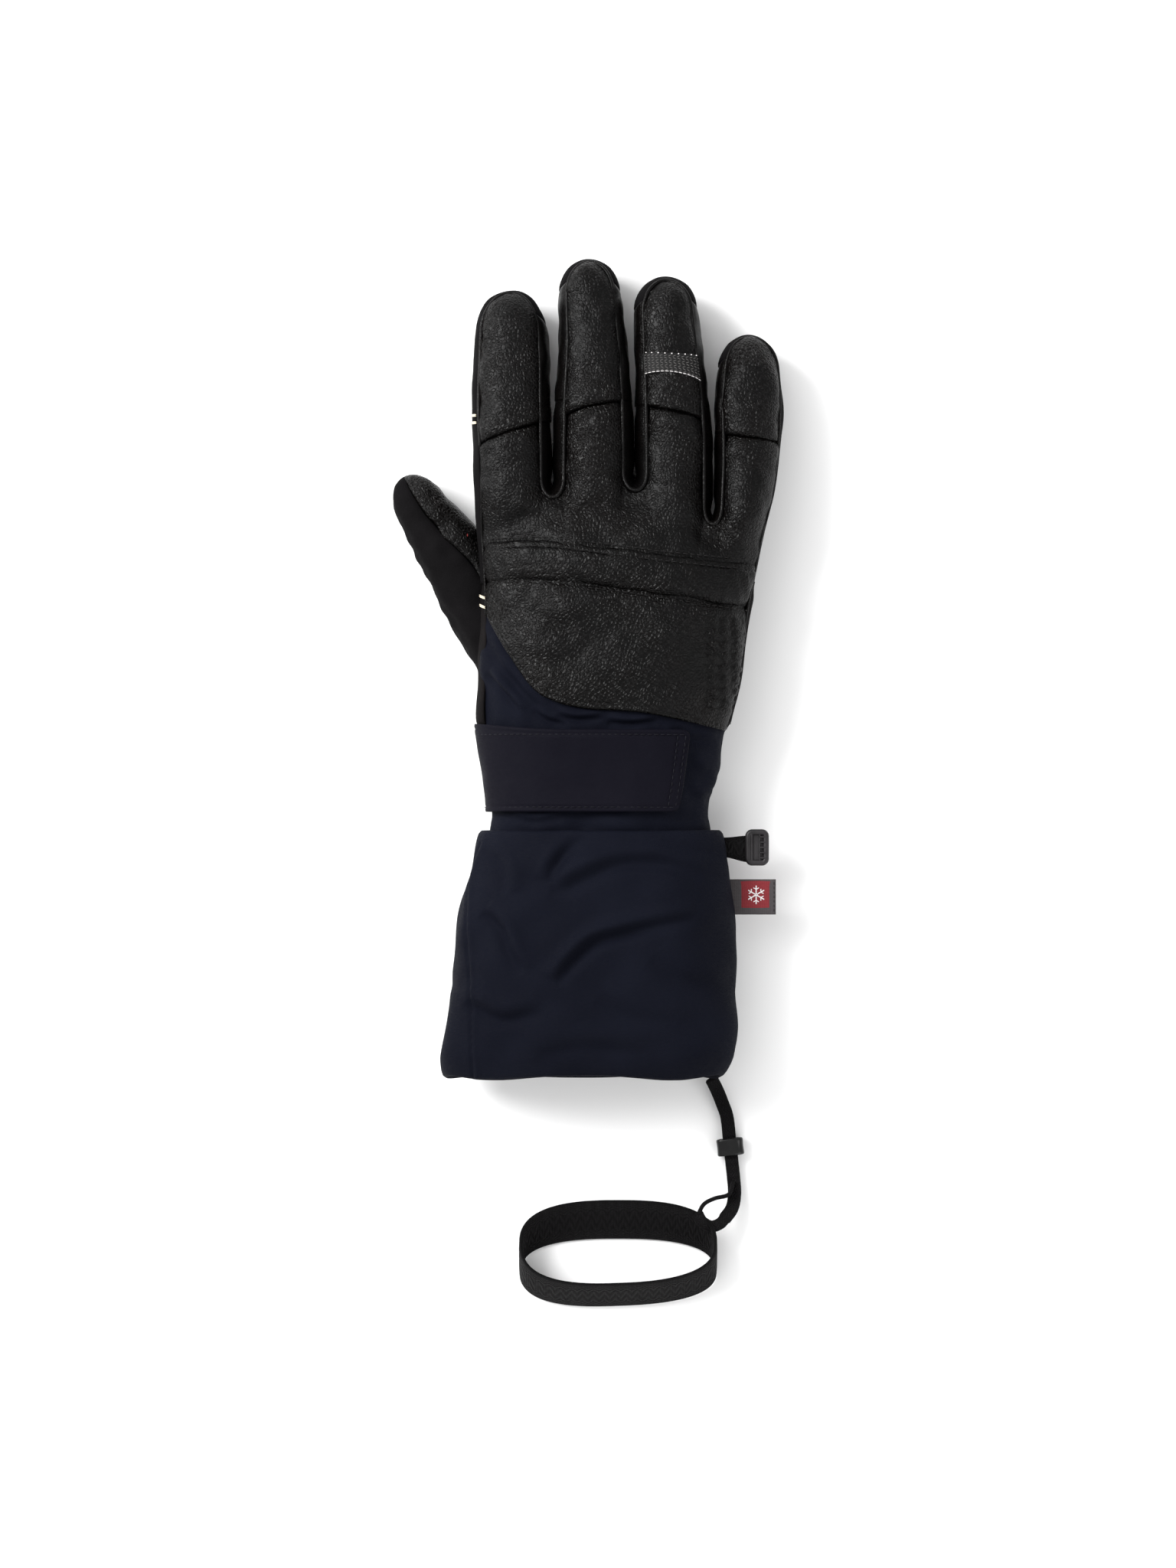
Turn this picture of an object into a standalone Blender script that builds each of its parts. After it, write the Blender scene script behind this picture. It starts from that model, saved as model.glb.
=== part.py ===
"""A right-hand ski glove with a gauntlet and a wrist leash, lying palm down.

+Y points to the fingertips, +X to the little-finger side, +Z up. The origin is under the middle of the
glove, on the surface that it lies on. Lengths here are in millimetres and angles in degrees.
Every sewn panel is a sheet on a tube of rounded sections, given a thickness inwards from its outer face.
"""

import math

import bmesh
import bpy
from mathutils import Matrix, Vector

MM = 0.001
GAP = 0.4  # clearance between neighbouring pieces
ROUNDNESS = 2.4  # power of the rounded sections: 2 is an ellipse, more is boxier

# Layers, as depths below the outer face; a negative depth stands outside it.
LEATHER = (0.0, 1.8)
FABRIC = (0.0, 1.5)
GUSSET = (0.3, 1.5)
INSULATION = (2.2, 4.2)
HAND_LINING = (4.6, 6.0)
FINGER_LINING = (2.9, 4.1)
FOAM_PAD = (-2.2, -0.4)
PAD_COVER = (-3.5, -2.6)
LOOP_PATCH = (-1.2, -0.4)
HOOK_PATCH = (-2.3, -1.5)
STRAP = (-4.2, -2.6)
STRAP_LAYER = (-2.1, -0.8)

# Sections along the glove: y, left edge, right edge, underside, top.
HAND = [
    (-164.5, -58.5, 55.0, 0.0, 42.0),
    (-155.0, -59.0, 59.5, -1.0, 46.0),
    (-128.0, -53.5, 60.5, -2.0, 50.0),
    (-100.0, -51.5, 59.0, -2.0, 51.0),
    (-82.0, -46.5, 57.5, -2.0, 49.0),
    (-68.0, -43.0, 54.0, -2.0, 46.5),
    (-59.0, -39.0, 50.0, -2.0, 44.5),
    (-45.0, -40.0, 52.5, -2.0, 44.5),
    (-22.0, -43.0, 57.0, -2.0, 46.0),
    (0.0, -43.5, 62.0, -2.0, 47.0),
    (25.0, -42.5, 65.5, -2.0, 47.0),
    (45.0, -43.5, 69.5, -1.0, 46.0),
    (62.0, -44.7, 73.0, 2.0, 43.0),
    (84.0, -45.0, 77.0, 6.0, 40.0),
]
HEM_END, HEM_TOP = -164.5, -157.0
THUMB_TABLE = [  # the same, along the thumb from its root inside the palm
    (5.0, -9.0, 15.0, 1.0, 27.0),
    (30.0, -9.5, 13.0, 0.0, 27.0),
    (48.0, -9.5, 7.2, 0.0, 26.0),
    (56.0, -9.3, 10.5, 0.0, 25.0),
    (72.0, -9.0, 12.0, 1.0, 24.0),
    (86.0, -8.8, 11.0, 2.0, 22.5),
]
THUMB_ROOT, THUMB_SPLAY = (-30.6, -6.0), 28.0
THUMB_TIP, THUMB_ROUND = 94.0, 14.0  # end of the thumb, and the length of its rounded tip

# Each finger: its sections, the end of its tip, its rounded length, its bending line and where it leaves
# the hand (still flat, fully round).
FINGERS = {
    "index": dict(
        table=[
            (45.0, -43.7, -14.6, 1.0, 44.0),
            (84.0, -44.9, -14.6, 6.0, 38.5),
            (103.0, -45.9, -14.8, 7.0, 37.0),
            (130.0, -45.0, -15.4, 4.0, 31.0),
            (145.0, -44.0, -17.0, 2.0, 28.0),
        ],
        tip=152.4,
        rounded=15.5,
        bend_y=105.0,
        join=(50.0, 76.0),
    ),
    "middle": dict(
        table=[
            (45.0, -13.3, 18.4, 1.0, 44.5),
            (84.0, -13.2, 18.5, 6.0, 39.0),
            (109.0, -12.6, 17.9, 7.0, 37.0),
            (130.0, -11.2, 16.2, 5.0, 33.0),
            (150.0, -11.2, 13.6, 2.0, 28.5),
        ],
        tip=165.0,
        rounded=14.5,
        bend_y=116.0,
        join=(50.0, 77.0),
    ),
    "ring": dict(
        table=[
            (45.0, 19.7, 49.8, 1.0, 44.0),
            (84.0, 19.8, 50.0, 6.0, 38.5),
            (103.0, 19.6, 49.3, 7.0, 37.0),
            (121.0, 19.4, 47.4, 5.0, 33.0),
            (144.0, 18.9, 44.6, 2.0, 28.5),
        ],
        tip=157.6,
        rounded=14.5,
        bend_y=115.0,
        join=(46.0, 73.0),
    ),
    "little": dict(
        table=[
            (45.0, 51.3, 69.0, 1.0, 43.0),
            (66.0, 51.5, 73.4, 4.0, 40.0),
            (84.0, 51.8, 77.0, 6.0, 36.5),
            (108.0, 51.4, 78.3, 5.0, 33.0),
            (124.0, 53.0, 77.3, 2.0, 28.5),
        ],
        tip=134.4,
        rounded=13.5,
        bend_y=102.0,
        join=(42.0, 66.0),
    ),
}
CROTCHES = {"index": 69.5, "middle": 69.5, "ring": 57.5}  # where each finger parts from the next
SEAM = 49.0  # angle of a finger's dorsal and palmar seams from its side
TIP_CAP = 4.5  # length of the tip that the dorsal panel closes over

# Hinges: the line that each folds on, its height, and half the angle that the walls below it must clear.
WRIST_Y, WRIST_GAP = -62.0, 5.8
KNUCKLE_Y, KNUCKLE_Z, KNUCKLE_HALF = 50.0, 14.0, 26.0
FINGER_Z, FINGER_HALF = 17.0, 36.0
THUMB_BEND, THUMB_Z, THUMB_HALF = 50.0, 11.0, 24.0

# The cuff's leather edge on the back of the hand, as x and y, and straight across the palm.
CUFF_CURVE = [(-44.0, 20.0), (-31.0, 4.5), (-16.0, -12.0), (1.3, -16.2), (23.0, -17.8), (62.0, -25.5)]
PALM_CUFF = -30.0
PANEL_GAP = 2.0  # degrees of the section between two panels that are sewn side by side

STRAP_Y = (-57.0, -24.0)
STRAP_TAB = (52.0, 122.0)  # degrees around the wrist, from the free end to the hinge
STRAP_BASE = (127.0, 196.0)
BAND_SLOPE = -0.078  # the knuckle band runs down towards the little finger
WIPE_Y = (116.0, 127.0)

LABEL = dict(x=(59.4, 76.0), y=(-98.8, -84.6), z=20.0, thick=1.1)
CLIP_WEB = dict(x=(56.4, 62.6), y=(-75.6, -67.4), z=20.0, thick=2.2)
CLIP = dict(x=(63.6, 73.0), y=(-79.0, -64.6), z=20.0, thick=5.6, slot=4.6, bar=2.2)

CORD_WIDTH, CORD_THICK = 5.4, 2.0
CORD_ROUTE = [  # from the hem to the wrist loop
    (50.4, -165.6, 8.6),
    (52.6, -170.0, 5.2),
    (54.6, -175.0, 3.6),
    (56.6, -181.0, 3.3),
    (57.8, -192.0, 3.3),
    (59.3, -206.0, 3.3),
    (59.6, -212.0, 4.0),
    (58.6, -217.4, 6.0),
    (55.6, -221.6, 8.4),
]
SLIDER = dict(at=(57.9, -192.8, 3.3), turn=6.1, size=(10.8, 7.0, 6.4), hole=(6.4, 3.0))
LOOP = dict(x=12.6, half=39.2, thick=1.6, steps=40)
LOOP_FOOT = dict(y=-243.9, half=13.4)  # its edge on the surface
LOOP_RIM = dict(y=-230.6, half=16.6, height=14.4, lean=3.0)  # its raised edge, lower at the far side

COLOURS = {
    "leather": ((0.021, 0.019, 0.020), 0.45, 0.0),
    "fourchette": ((0.016, 0.015, 0.016), 0.55, 0.0),
    "navy": ((0.012, 0.014, 0.024), 0.8, 0.0),
    "strap": ((0.010, 0.010, 0.016), 0.75, 0.0),
    "lining": ((0.03, 0.03, 0.033), 0.95, 0.0),
    "foam": ((0.05, 0.05, 0.055), 0.9, 0.0),
    "webbing": ((0.008, 0.008, 0.009), 0.8, 0.0),
    "plastic": ((0.030, 0.030, 0.032), 0.4, 0.0),
    "label": ((0.28, 0.03, 0.035), 0.7, 0.0),
}


def clear_scene():
    for obj in list(bpy.data.objects):
        bpy.data.objects.remove(obj)


def material(name):
    made = bpy.data.materials.get(name)
    if made is None:
        made = bpy.data.materials.new(name)
        made.use_nodes = True
        colour, roughness, metallic = COLOURS[name]
        shader = made.node_tree.nodes["Principled BSDF"]
        shader.inputs["Base Color"].default_value = (*colour, 1.0)
        shader.inputs["Roughness"].default_value = roughness
        shader.inputs["Metallic"].default_value = metallic
    return made


def add_object(name, mesh, finish):
    obj = bpy.data.objects.new(name, mesh)
    mesh.materials.append(material(finish))
    bpy.context.scene.collection.objects.link(obj)
    mesh.shade_smooth()
    mesh.set_sharp_from_angle(angle=math.radians(35))
    return obj


def smooth_table(table, at):
    """The table's other columns at this place, on a smooth curve through its rows."""
    places = [row[0] for row in table]
    at = min(max(at, places[0]), places[-1])
    i = min(max(sum(p <= at for p in places) - 1, 0), len(table) - 2)
    before, start, end, after = (table[min(max(i + k, 0), len(table) - 1)] for k in (-1, 0, 1, 2))
    span = end[0] - start[0]
    t = (at - start[0]) / span
    found = []
    for column in range(1, len(start)):
        slope_a = (end[column] - before[column]) / (end[0] - before[0]) * span
        slope_b = (after[column] - start[column]) / (after[0] - start[0]) * span
        found.append(
            start[column] * (2 * t**3 - 3 * t**2 + 1)
            + slope_a * (t**3 - 2 * t**2 + t)
            + end[column] * (3 * t**2 - 2 * t**3)
            + slope_b * (t**3 - t**2)
        )
    return found


def ease(t):
    t = min(max(t, 0.0), 1.0)
    return t * t * (3 - 2 * t)


def bulge(value):
    """A sine or cosine raised to the section's power, with its sign kept."""
    return math.copysign(abs(value) ** (2 / ROUNDNESS), value)


def section_point(angle, left, right, low, top, y, shrink=1.0):
    """A point on a rounded section, flattened where it would pass through the surface it lies on."""
    turn = math.radians(angle)
    x = (left + right) / 2 + (right - left) / 2 * shrink * bulge(math.cos(turn))
    z = (low + top) / 2 + (top - low) / 2 * shrink * bulge(math.sin(turn))
    return Vector((x, y, max(z, 0.0)))


def hand_point(angle, y):
    return section_point(angle, *smooth_table(HAND, y), y)


def tip_share(y, tip, rounded):
    """How much of its section is left at y, on a quarter of an ellipse up to the tip."""
    past = min(max((y - (tip - rounded)) / rounded, 0.0), 1.0)
    return math.sqrt(max(1 - past * past, 0.0))


def finger_point(finger, angle, y):
    return section_point(angle, *smooth_table(finger["table"], y), y, tip_share(y, finger["tip"], finger["rounded"]))


def thumb_point(angle, along):
    local = section_point(angle, *smooth_table(THUMB_TABLE, along), along, tip_share(along, THUMB_TIP, THUMB_ROUND))
    placed = Matrix.Rotation(math.radians(THUMB_SPLAY), 3, "Z") @ local
    return placed + Vector((*THUMB_ROOT, 0.0))


def outward(surface, u, v):
    """The surface's unit normal, pointing out of the glove."""
    step = 0.3
    along_u = surface(u + step, v) - surface(u - step, v)
    along_v = surface(u, v + step) - surface(u, v - step)
    return along_v.cross(along_u).normalized()


def sheet_solid(name, surface, columns, rows, layer, finish, keep=None, wrap=False, tip=False):
    """A panel: the cells of a grid on the surface, thickened between the layer's two depths.

    rows(u) lists a column's places, keep(i, j) says which cells the panel has, wrap joins the last column to
    the first, and tip closes the last row with one flat face."""
    shape = bmesh.new()
    skins = []
    for depth in layer:
        skin = []
        for u in columns:
            skin.append([shape.verts.new((surface(u, v) - depth * outward(surface, u, v)) * MM) for v in rows(u)])
        skins.append(skin)
    outer, inner = skins
    count, length = len(columns), len(outer[0])
    uses = {}
    for i in range(count if wrap else count - 1):
        for j in range(length - 1):
            if keep and not keep(i, j):
                continue
            corners = [(i, j), ((i + 1) % count, j), ((i + 1) % count, j + 1), (i, j + 1)]
            shape.faces.new([outer[a][b] for a, b in corners])
            shape.faces.new([inner[a][b] for a, b in reversed(corners)])
            for start, end in zip(corners, corners[1:] + corners[:1]):
                key = tuple(sorted((start, end)))
                uses[key] = None if key in uses else (start, end)
    if tip:
        last = length - 1
        shape.faces.new([outer[i][last] for i in range(count)])
        shape.faces.new([inner[i][last] for i in reversed(range(count))])
        for i in range(count):
            uses[tuple(sorted(((i, last), ((i + 1) % count, last))))] = None
    for edge in filter(None, uses.values()):
        (a, b), (c, d) = edge
        shape.faces.new([outer[c][d], outer[a][b], inner[a][b], inner[c][d]])
    bmesh.ops.delete(shape, geom=[v for v in shape.verts if not v.link_faces], context="VERTS")
    bmesh.ops.recalc_face_normals(shape, faces=shape.faces)
    mesh = bpy.data.meshes.new(name)
    shape.to_mesh(mesh)
    shape.free()
    return add_object(name, mesh, finish)


def spread(start, end, count):
    """Places from start to end, with this many steps between them."""
    return [start + (end - start) * k / count for k in range(count + 1)]


def cuff_edge(angle):
    """Where the leather ends and the cuff's fabric begins."""
    if 180 < angle < 360:
        return PALM_CUFF
    x = hand_point(angle, -5.0).x
    return smooth_table(CUFF_CURVE, x)[0]


def below_hinge(z, hinge_z, half):
    """How far a wall at this height stays back from a hinge line, so that it can fold."""
    return GAP + max(0.0, hinge_z - z) * math.tan(math.radians(half))


def box(name, low, high, finish, bevel):
    """A box between two corners, with its edges rounded."""
    size = [b - a for a, b in zip(low, high)]
    middle = Vector([(a + b) / 2 for a, b in zip(low, high)])
    shape = bmesh.new()
    bmesh.ops.create_cube(shape, size=1.0, matrix=Matrix.Diagonal((*(side * MM for side in size), 1.0)))
    bmesh.ops.bevel(shape, geom=shape.edges, offset=bevel * MM, segments=2, profile=0.5, affect="EDGES")
    mesh = bpy.data.meshes.new(name)
    shape.to_mesh(mesh)
    shape.free()
    obj = add_object(name, mesh, finish)
    obj.location = middle * MM
    return obj


def as_cutter(obj):
    obj.hide_render = True
    obj.display_type = "WIRE"
    return obj


def cut(obj, cutter):
    change = obj.modifiers.new("cut", "BOOLEAN")
    change.operation = "DIFFERENCE"
    change.solver = "EXACT"
    change.object = cutter


def solid_tube(name, surface, ring, places, depth):
    """The closed solid inside a tube's sections, at this depth below its outer face."""
    shape = bmesh.new()
    loops = []
    for v in places:
        loops.append([shape.verts.new((surface(u, v) - depth * outward(surface, u, v)) * MM) for u in ring])
    for before, after in zip(loops, loops[1:]):
        for k in range(len(ring)):
            after_k = (k + 1) % len(ring)
            shape.faces.new([before[k], before[after_k], after[after_k], after[k]])
    shape.faces.new(loops[0])
    shape.faces.new(list(reversed(loops[-1])))
    bmesh.ops.recalc_face_normals(shape, faces=shape.faces)
    mesh = bpy.data.meshes.new(name)
    shape.to_mesh(mesh)
    shape.free()
    return add_object(name, mesh, "plastic")


# The gauntlet, from the hem to the wrist

FULL_RING = [15.0 * k for k in range(24)]


def add_gauntlet():
    shell_top = WRIST_Y - WRIST_GAP
    sheet_solid(
        "gauntlet_shell",
        hand_point,
        FULL_RING,
        lambda u: spread(HEM_TOP, shell_top, 6),
        FABRIC,
        "navy",
        wrap=True,
    )
    sheet_solid(
        "gauntlet_hem",
        hand_point,
        FULL_RING,
        lambda u: spread(HEM_END, HEM_TOP - GAP, 1),
        (0.0, 3.0),
        "navy",
        wrap=True,
    )
    sheet_solid(
        "gauntlet_lining",
        hand_point,
        FULL_RING,
        lambda u: spread(HEM_TOP + GAP, shell_top, 6),
        (2.1, 3.1),
        "lining",
        wrap=True,
    )
    sheet_solid(
        "wrist_gusset",
        hand_point,
        FULL_RING,
        lambda u: spread(shell_top + GAP, WRIST_Y + WRIST_GAP - GAP, 1),
        GUSSET,
        "navy",
        wrap=True,
    )


# The hand, from the wrist to the knuckle line


def knuckle_setback(angle):
    return below_hinge(hand_point(angle, KNUCKLE_Y).z, KNUCKLE_Z, KNUCKLE_HALF)


def add_hand():
    wrist_start = WRIST_Y + WRIST_GAP
    sides = (1.0, 179.0, 181.0, 359.0)  # the leather's edge steps from the back to the palm here
    ring = sorted([*sides, *(angle for angle in FULL_RING if angle % 180)])
    sheet_solid(
        "wrist_shell",
        hand_point,
        ring,
        lambda u: spread(wrist_start, cuff_edge(u), 3),
        FABRIC,
        "navy",
        wrap=True,
    )

    def back_rows(angle):
        return spread(cuff_edge(angle) + GAP, KNUCKLE_Y - knuckle_setback(angle), 4)

    def palm_rows(angle):
        return spread(PALM_CUFF + GAP, KNUCKLE_Y - knuckle_setback(angle), 4)

    def lining_rows(angle):
        return spread(wrist_start + 3.0, KNUCKLE_Y - GAP - knuckle_setback(angle), 6)

    def padding_rows(angle):
        return spread(-8.0, KNUCKLE_Y - 3.0, 3)

    back = sheet_solid("back_panel", hand_point, spread(1.0, 179.0, 12), back_rows, LEATHER, "leather")
    palm = sheet_solid("palm_panel", hand_point, spread(183.0, 357.0, 12), palm_rows, LEATHER, "leather")
    sheet_solid("back_insulation", hand_point, spread(30.0, 150.0, 8), padding_rows, INSULATION, "foam")
    lining = sheet_solid(
        "hand_lining", hand_point, FULL_RING, lining_rows, HAND_LINING, "lining", wrap=True
    )
    return back, palm, lining


def add_knuckle_band():
    """A foam roll and its leather cover, across the back of the hand just behind the knuckles."""

    def rows(margin):
        def places(angle):
            lean = (hand_point(angle, KNUCKLE_Y).x - HAND[-1][1]) * BAND_SLOPE
            return spread(33.0 + lean + margin, 49.0 + lean - margin, 3)

        return places

    sheet_solid("knuckle_foam", hand_point, spread(22.0, 158.0, 10), rows(2.0), FOAM_PAD, "foam")
    sheet_solid("knuckle_band", hand_point, spread(14.0, 166.0, 12), rows(0.0), PAD_COVER, "leather")


def add_wrist_strap():
    """A tab that closes over the wrist with hook and loop, and the fixed strap that it is sewn to."""
    low, high = STRAP_Y
    sheet_solid(
        "strap_base", hand_point, spread(*STRAP_BASE, 6), lambda u: spread(low, high, 3), STRAP_LAYER, "strap"
    )
    sheet_solid(
        "strap_tab", hand_point, spread(*STRAP_TAB, 6), lambda u: spread(low, high, 3), STRAP, "strap"
    )
    patch = spread(low + 3.0, high - 3.0, 3)
    tab_start, tab_end = STRAP_TAB
    width = (tab_end - tab_start) / 6
    columns = [tab_start + width * k for k in (0.5, 1, 2, 3, 4)]
    sheet_solid("hook_patch", hand_point, columns, lambda u: patch, HOOK_PATCH, "webbing")
    sheet_solid("loop_patch", hand_point, columns, lambda u: patch, LOOP_PATCH, "lining")


# The knuckles: the four finger bases, as one back panel and one palm panel slit between the fingers


def hand_side_z(x, y, dorsal):
    left, right, low, top = smooth_table(HAND, y)
    share = min(abs((x - (left + right) / 2) / ((right - left) / 2)), 1.0)
    rise = (1 - share**ROUNDNESS) ** (1 / ROUNDNESS) * (top - low) / 2 + GAP
    return max((low + top) / 2 + (rise if dorsal else -rise), 0.0)


def base_borders(y):
    """Where the four finger bases meet across the hand at y."""
    left, right, _, _ = smooth_table(HAND, y)
    names = list(FINGERS)
    inner = []
    for a, b in zip(names, names[1:]):
        edge_a = smooth_table(FINGERS[a]["table"], y)[1]
        edge_b = smooth_table(FINGERS[b]["table"], y)[0]
        inner.append((edge_a + edge_b) / 2)
    return [left, *inner, right]


def panel_angles(name, dorsal):
    """A finger panel's first and last angle, from its thumb side across."""
    left = 180.0 - PANEL_GAP if name == "index" else 180.0 - SEAM
    right = PANEL_GAP if name == "little" else SEAM
    return (left, right) if dorsal else (360.0 - left, 360.0 - right)


def base_surface(dorsal):
    """The back or the palm turning into the fingers; u is a finger's angle, plus 1000 for each finger before."""

    def surface(u, y):
        order, angle = divmod(u + 100.0, 1000.0)
        order, angle = int(order), angle - 100.0
        name = list(FINGERS)[order]
        finger = FINGERS[name]
        first, last = (bulge(math.cos(math.radians(a))) for a in panel_angles(name, dorsal))
        across = (bulge(math.cos(math.radians(angle))) - first) / (last - first)
        borders = base_borders(y)
        x = borders[order] + (borders[order + 1] - borders[order]) * across
        flat = Vector((x, y, hand_side_z(x, y, dorsal)))
        join, split = finger["join"]
        return flat.lerp(finger_point(finger, angle, y), ease((y - join) / (split - join)))

    return surface


def finger_setback(finger, angle):
    return below_hinge(finger_point(finger, angle, finger["bend_y"]).z, FINGER_Z, FINGER_HALF)


def add_base_panel(name, dorsal):
    surface = base_surface(dorsal)
    steps = {"index": 5, "middle": 4, "ring": 4, "little": 5}
    columns = []
    for order, finger in enumerate(FINGERS):
        columns += [1000 * order + angle for angle in spread(*panel_angles(finger, dorsal), steps[finger])]

    def finger_of(u):
        return list(FINGERS)[int((u + 100) // 1000)]

    def rows(u):
        finger = FINGERS[finger_of(u)]
        start = KNUCKLE_Y + below_hinge(surface(u, KNUCKLE_Y).z, KNUCKLE_Z, KNUCKLE_HALF)
        start = min(start, 57.1)
        end = finger["bend_y"] - finger_setback(finger, (u + 100) % 1000 - 100)
        return [start, 57.5, 63.5, 69.5, (69.5 + end) / 2, end]

    def keep(i, j):
        finger = finger_of(columns[i])
        return finger == finger_of(columns[i + 1]) or rows(columns[i])[j + 1] <= CROTCHES[finger]

    sheet_solid(name, surface, columns, rows, LEATHER, "leather", keep=keep)


def add_fourchette(first, second):
    """The strip between two fingers: down one finger's side, around the crotch and up the other's."""
    a, b = FINGERS[first], FINGERS[second]
    floor = CROTCHES[first] + 7.0

    def surface(u, v):
        if u < 1.0:
            end = a["bend_y"] - finger_setback(a, v)
            return finger_point(a, v, end + (floor - end) * u)
        if u > 2.0:
            end = b["bend_y"] - finger_setback(b, 180.0 - v)
            return finger_point(b, 180.0 - v, floor + (end - floor) * (u - 2.0))
        left, right = finger_point(a, v, floor), finger_point(b, 180.0 - v, floor)
        turn = math.pi * (u - 1.0)
        point = left.lerp(right, (1 - math.cos(turn)) / 2)
        point.y -= math.sin(turn) * (6.5 - 2.5 * (v / SEAM) ** 2)
        return point

    columns = [0.02, 0.5, *spread(1.0, 2.0, 4), 2.5, 2.98]
    edge = SEAM - 2 * PANEL_GAP
    sheet_solid(
        f"fourchette_{first}_{second}",
        surface,
        columns,
        lambda u: spread(-edge, edge, 4),
        FABRIC,
        "fourchette",
    )


# Each finger beyond its bending line


def finger_rows(finger, start):
    knee = finger["tip"] - finger["rounded"]
    end = finger["tip"] - TIP_CAP
    return [start, (start + knee) / 2, knee, knee + (end - knee) * 0.55, end]


def add_finger(name):
    finger = FINGERS[name]
    tip = finger["tip"]
    dorsal = sorted(spread(*panel_angles(name, True), 4 if name in ("middle", "ring") else 6))
    palmar = sorted(spread(*panel_angles(name, False), 4 if name in ("middle", "ring") else 6))
    right = spread(palmar[-1], dorsal[0] + 360.0, 4)[1:-1] if name != "little" else []
    left = spread(dorsal[-1], palmar[0], 4)[1:-1] if name != "index" else []
    ring = [*dorsal, *left, *palmar, *right]

    def start(angle):
        return finger["bend_y"] + finger_setback(finger, angle)

    def panel_rows(angle):
        rows = finger_rows(finger, start(angle))
        rows[-1] -= GAP
        return rows

    def back_rows(angle):
        return [*finger_rows(finger, start(angle)), tip - TIP_CAP * 0.45, tip - 0.7]

    def surface(u, v):
        return finger_point(finger, u, v)

    def over_tip(i, j):
        return j > 3 or i < len(dorsal) - 1

    sheet_solid(
        f"{name}_back", surface, ring, back_rows, LEATHER, "leather", keep=over_tip, wrap=True, tip=True
    )
    sheet_solid(f"{name}_palm", surface, palmar, panel_rows, LEATHER, "leather")
    for side, middle in (("left", 180.0), ("right", 0.0)):
        if (side, name) in (("left", "index"), ("right", "little")):
            continue
        reach = SEAM - PANEL_GAP
        sheet_solid(
            f"{name}_{side}_fourchette",
            surface,
            spread(middle - reach, middle + reach, 4),
            panel_rows,
            FABRIC,
            "fourchette",
        )

    def lining_rows(angle):
        return [*finger_rows(finger, start(angle) + GAP)[:-1], tip - 3.5, tip - 1.4]

    sheet_solid(
        f"{name}_lining", surface, ring, lining_rows, FINGER_LINING, "lining", wrap=True, tip=True
    )

    def base_rows(angle):
        return spread(finger["join"][1] + 3.0, finger["bend_y"] - GAP - finger_setback(finger, angle), 3)

    sheet_solid(f"{name}_base_lining", surface, ring, base_rows, FINGER_LINING, "lining", wrap=True)


def add_wipe_strip():
    """A woven strip sewn across the back of the ring finger."""
    finger = FINGERS["ring"]
    dorsal = sorted(spread(*panel_angles("ring", True), 4))

    def surface(u, v):
        return finger_point(finger, u, v)

    sheet_solid("wipe_strip", surface, dorsal, lambda u: spread(*WIPE_Y, 2), (-1.2, -0.4), "webbing")


# The thumb


def thumb_setback(angle):
    return below_hinge(thumb_point(angle, THUMB_BEND).z, THUMB_Z, THUMB_HALF)


def add_thumb():
    """The thumb's base on the side of the hand, and the thumb that bends on it. Returns the hole into it."""
    hull = as_cutter(solid_tube("hand_cutter", hand_point, FULL_RING, spread(-60.0, 70.0, 8), -GAP))
    base = sheet_solid(
        "thumb_base",
        thumb_point,
        FULL_RING,
        lambda u: spread(6.0, THUMB_BEND - thumb_setback(u), 4),
        LEATHER,
        "leather",
        wrap=True,
    )
    cut(base, hull)

    end = THUMB_TIP - TIP_CAP

    def rows(angle):
        start = THUMB_BEND + thumb_setback(angle)
        knee = THUMB_TIP - THUMB_ROUND
        return [start, (start + knee) / 2, knee, knee + (end - knee) * 0.55, end]

    def inner_rows(angle):
        return [*rows(angle)[:-1], end - GAP]

    def outer_rows(angle):
        return [*rows(angle), THUMB_TIP - TIP_CAP * 0.45, THUMB_TIP - 0.7]

    def lining_rows(angle):
        return [rows(angle)[0] + GAP, *rows(angle)[1:-1], THUMB_TIP - 3.5, THUMB_TIP - 1.4]

    outer = spread(90.0 + PANEL_GAP, 270.0 - PANEL_GAP, 8)
    inner = spread(-90.0 + PANEL_GAP, 90.0 - PANEL_GAP, 8)
    ring = [*outer, *(angle + 360.0 for angle in inner)]

    def over_tip(i, j):
        return j > 3 or i < len(outer) - 1

    sheet_solid(
        "thumb_outer", thumb_point, ring, outer_rows, LEATHER, "fourchette", keep=over_tip, wrap=True, tip=True
    )
    sheet_solid("thumb_inner", thumb_point, inner, inner_rows, LEATHER, "leather")
    sheet_solid(
        "thumb_lining", thumb_point, ring, lining_rows, FINGER_LINING, "lining", wrap=True, tip=True
    )
    return as_cutter(solid_tube("thumb_hole_cutter", thumb_point, FULL_RING, spread(0.0, 60.0, 6), 3.6))


# The link clip and the label on the gauntlet's side


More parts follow.
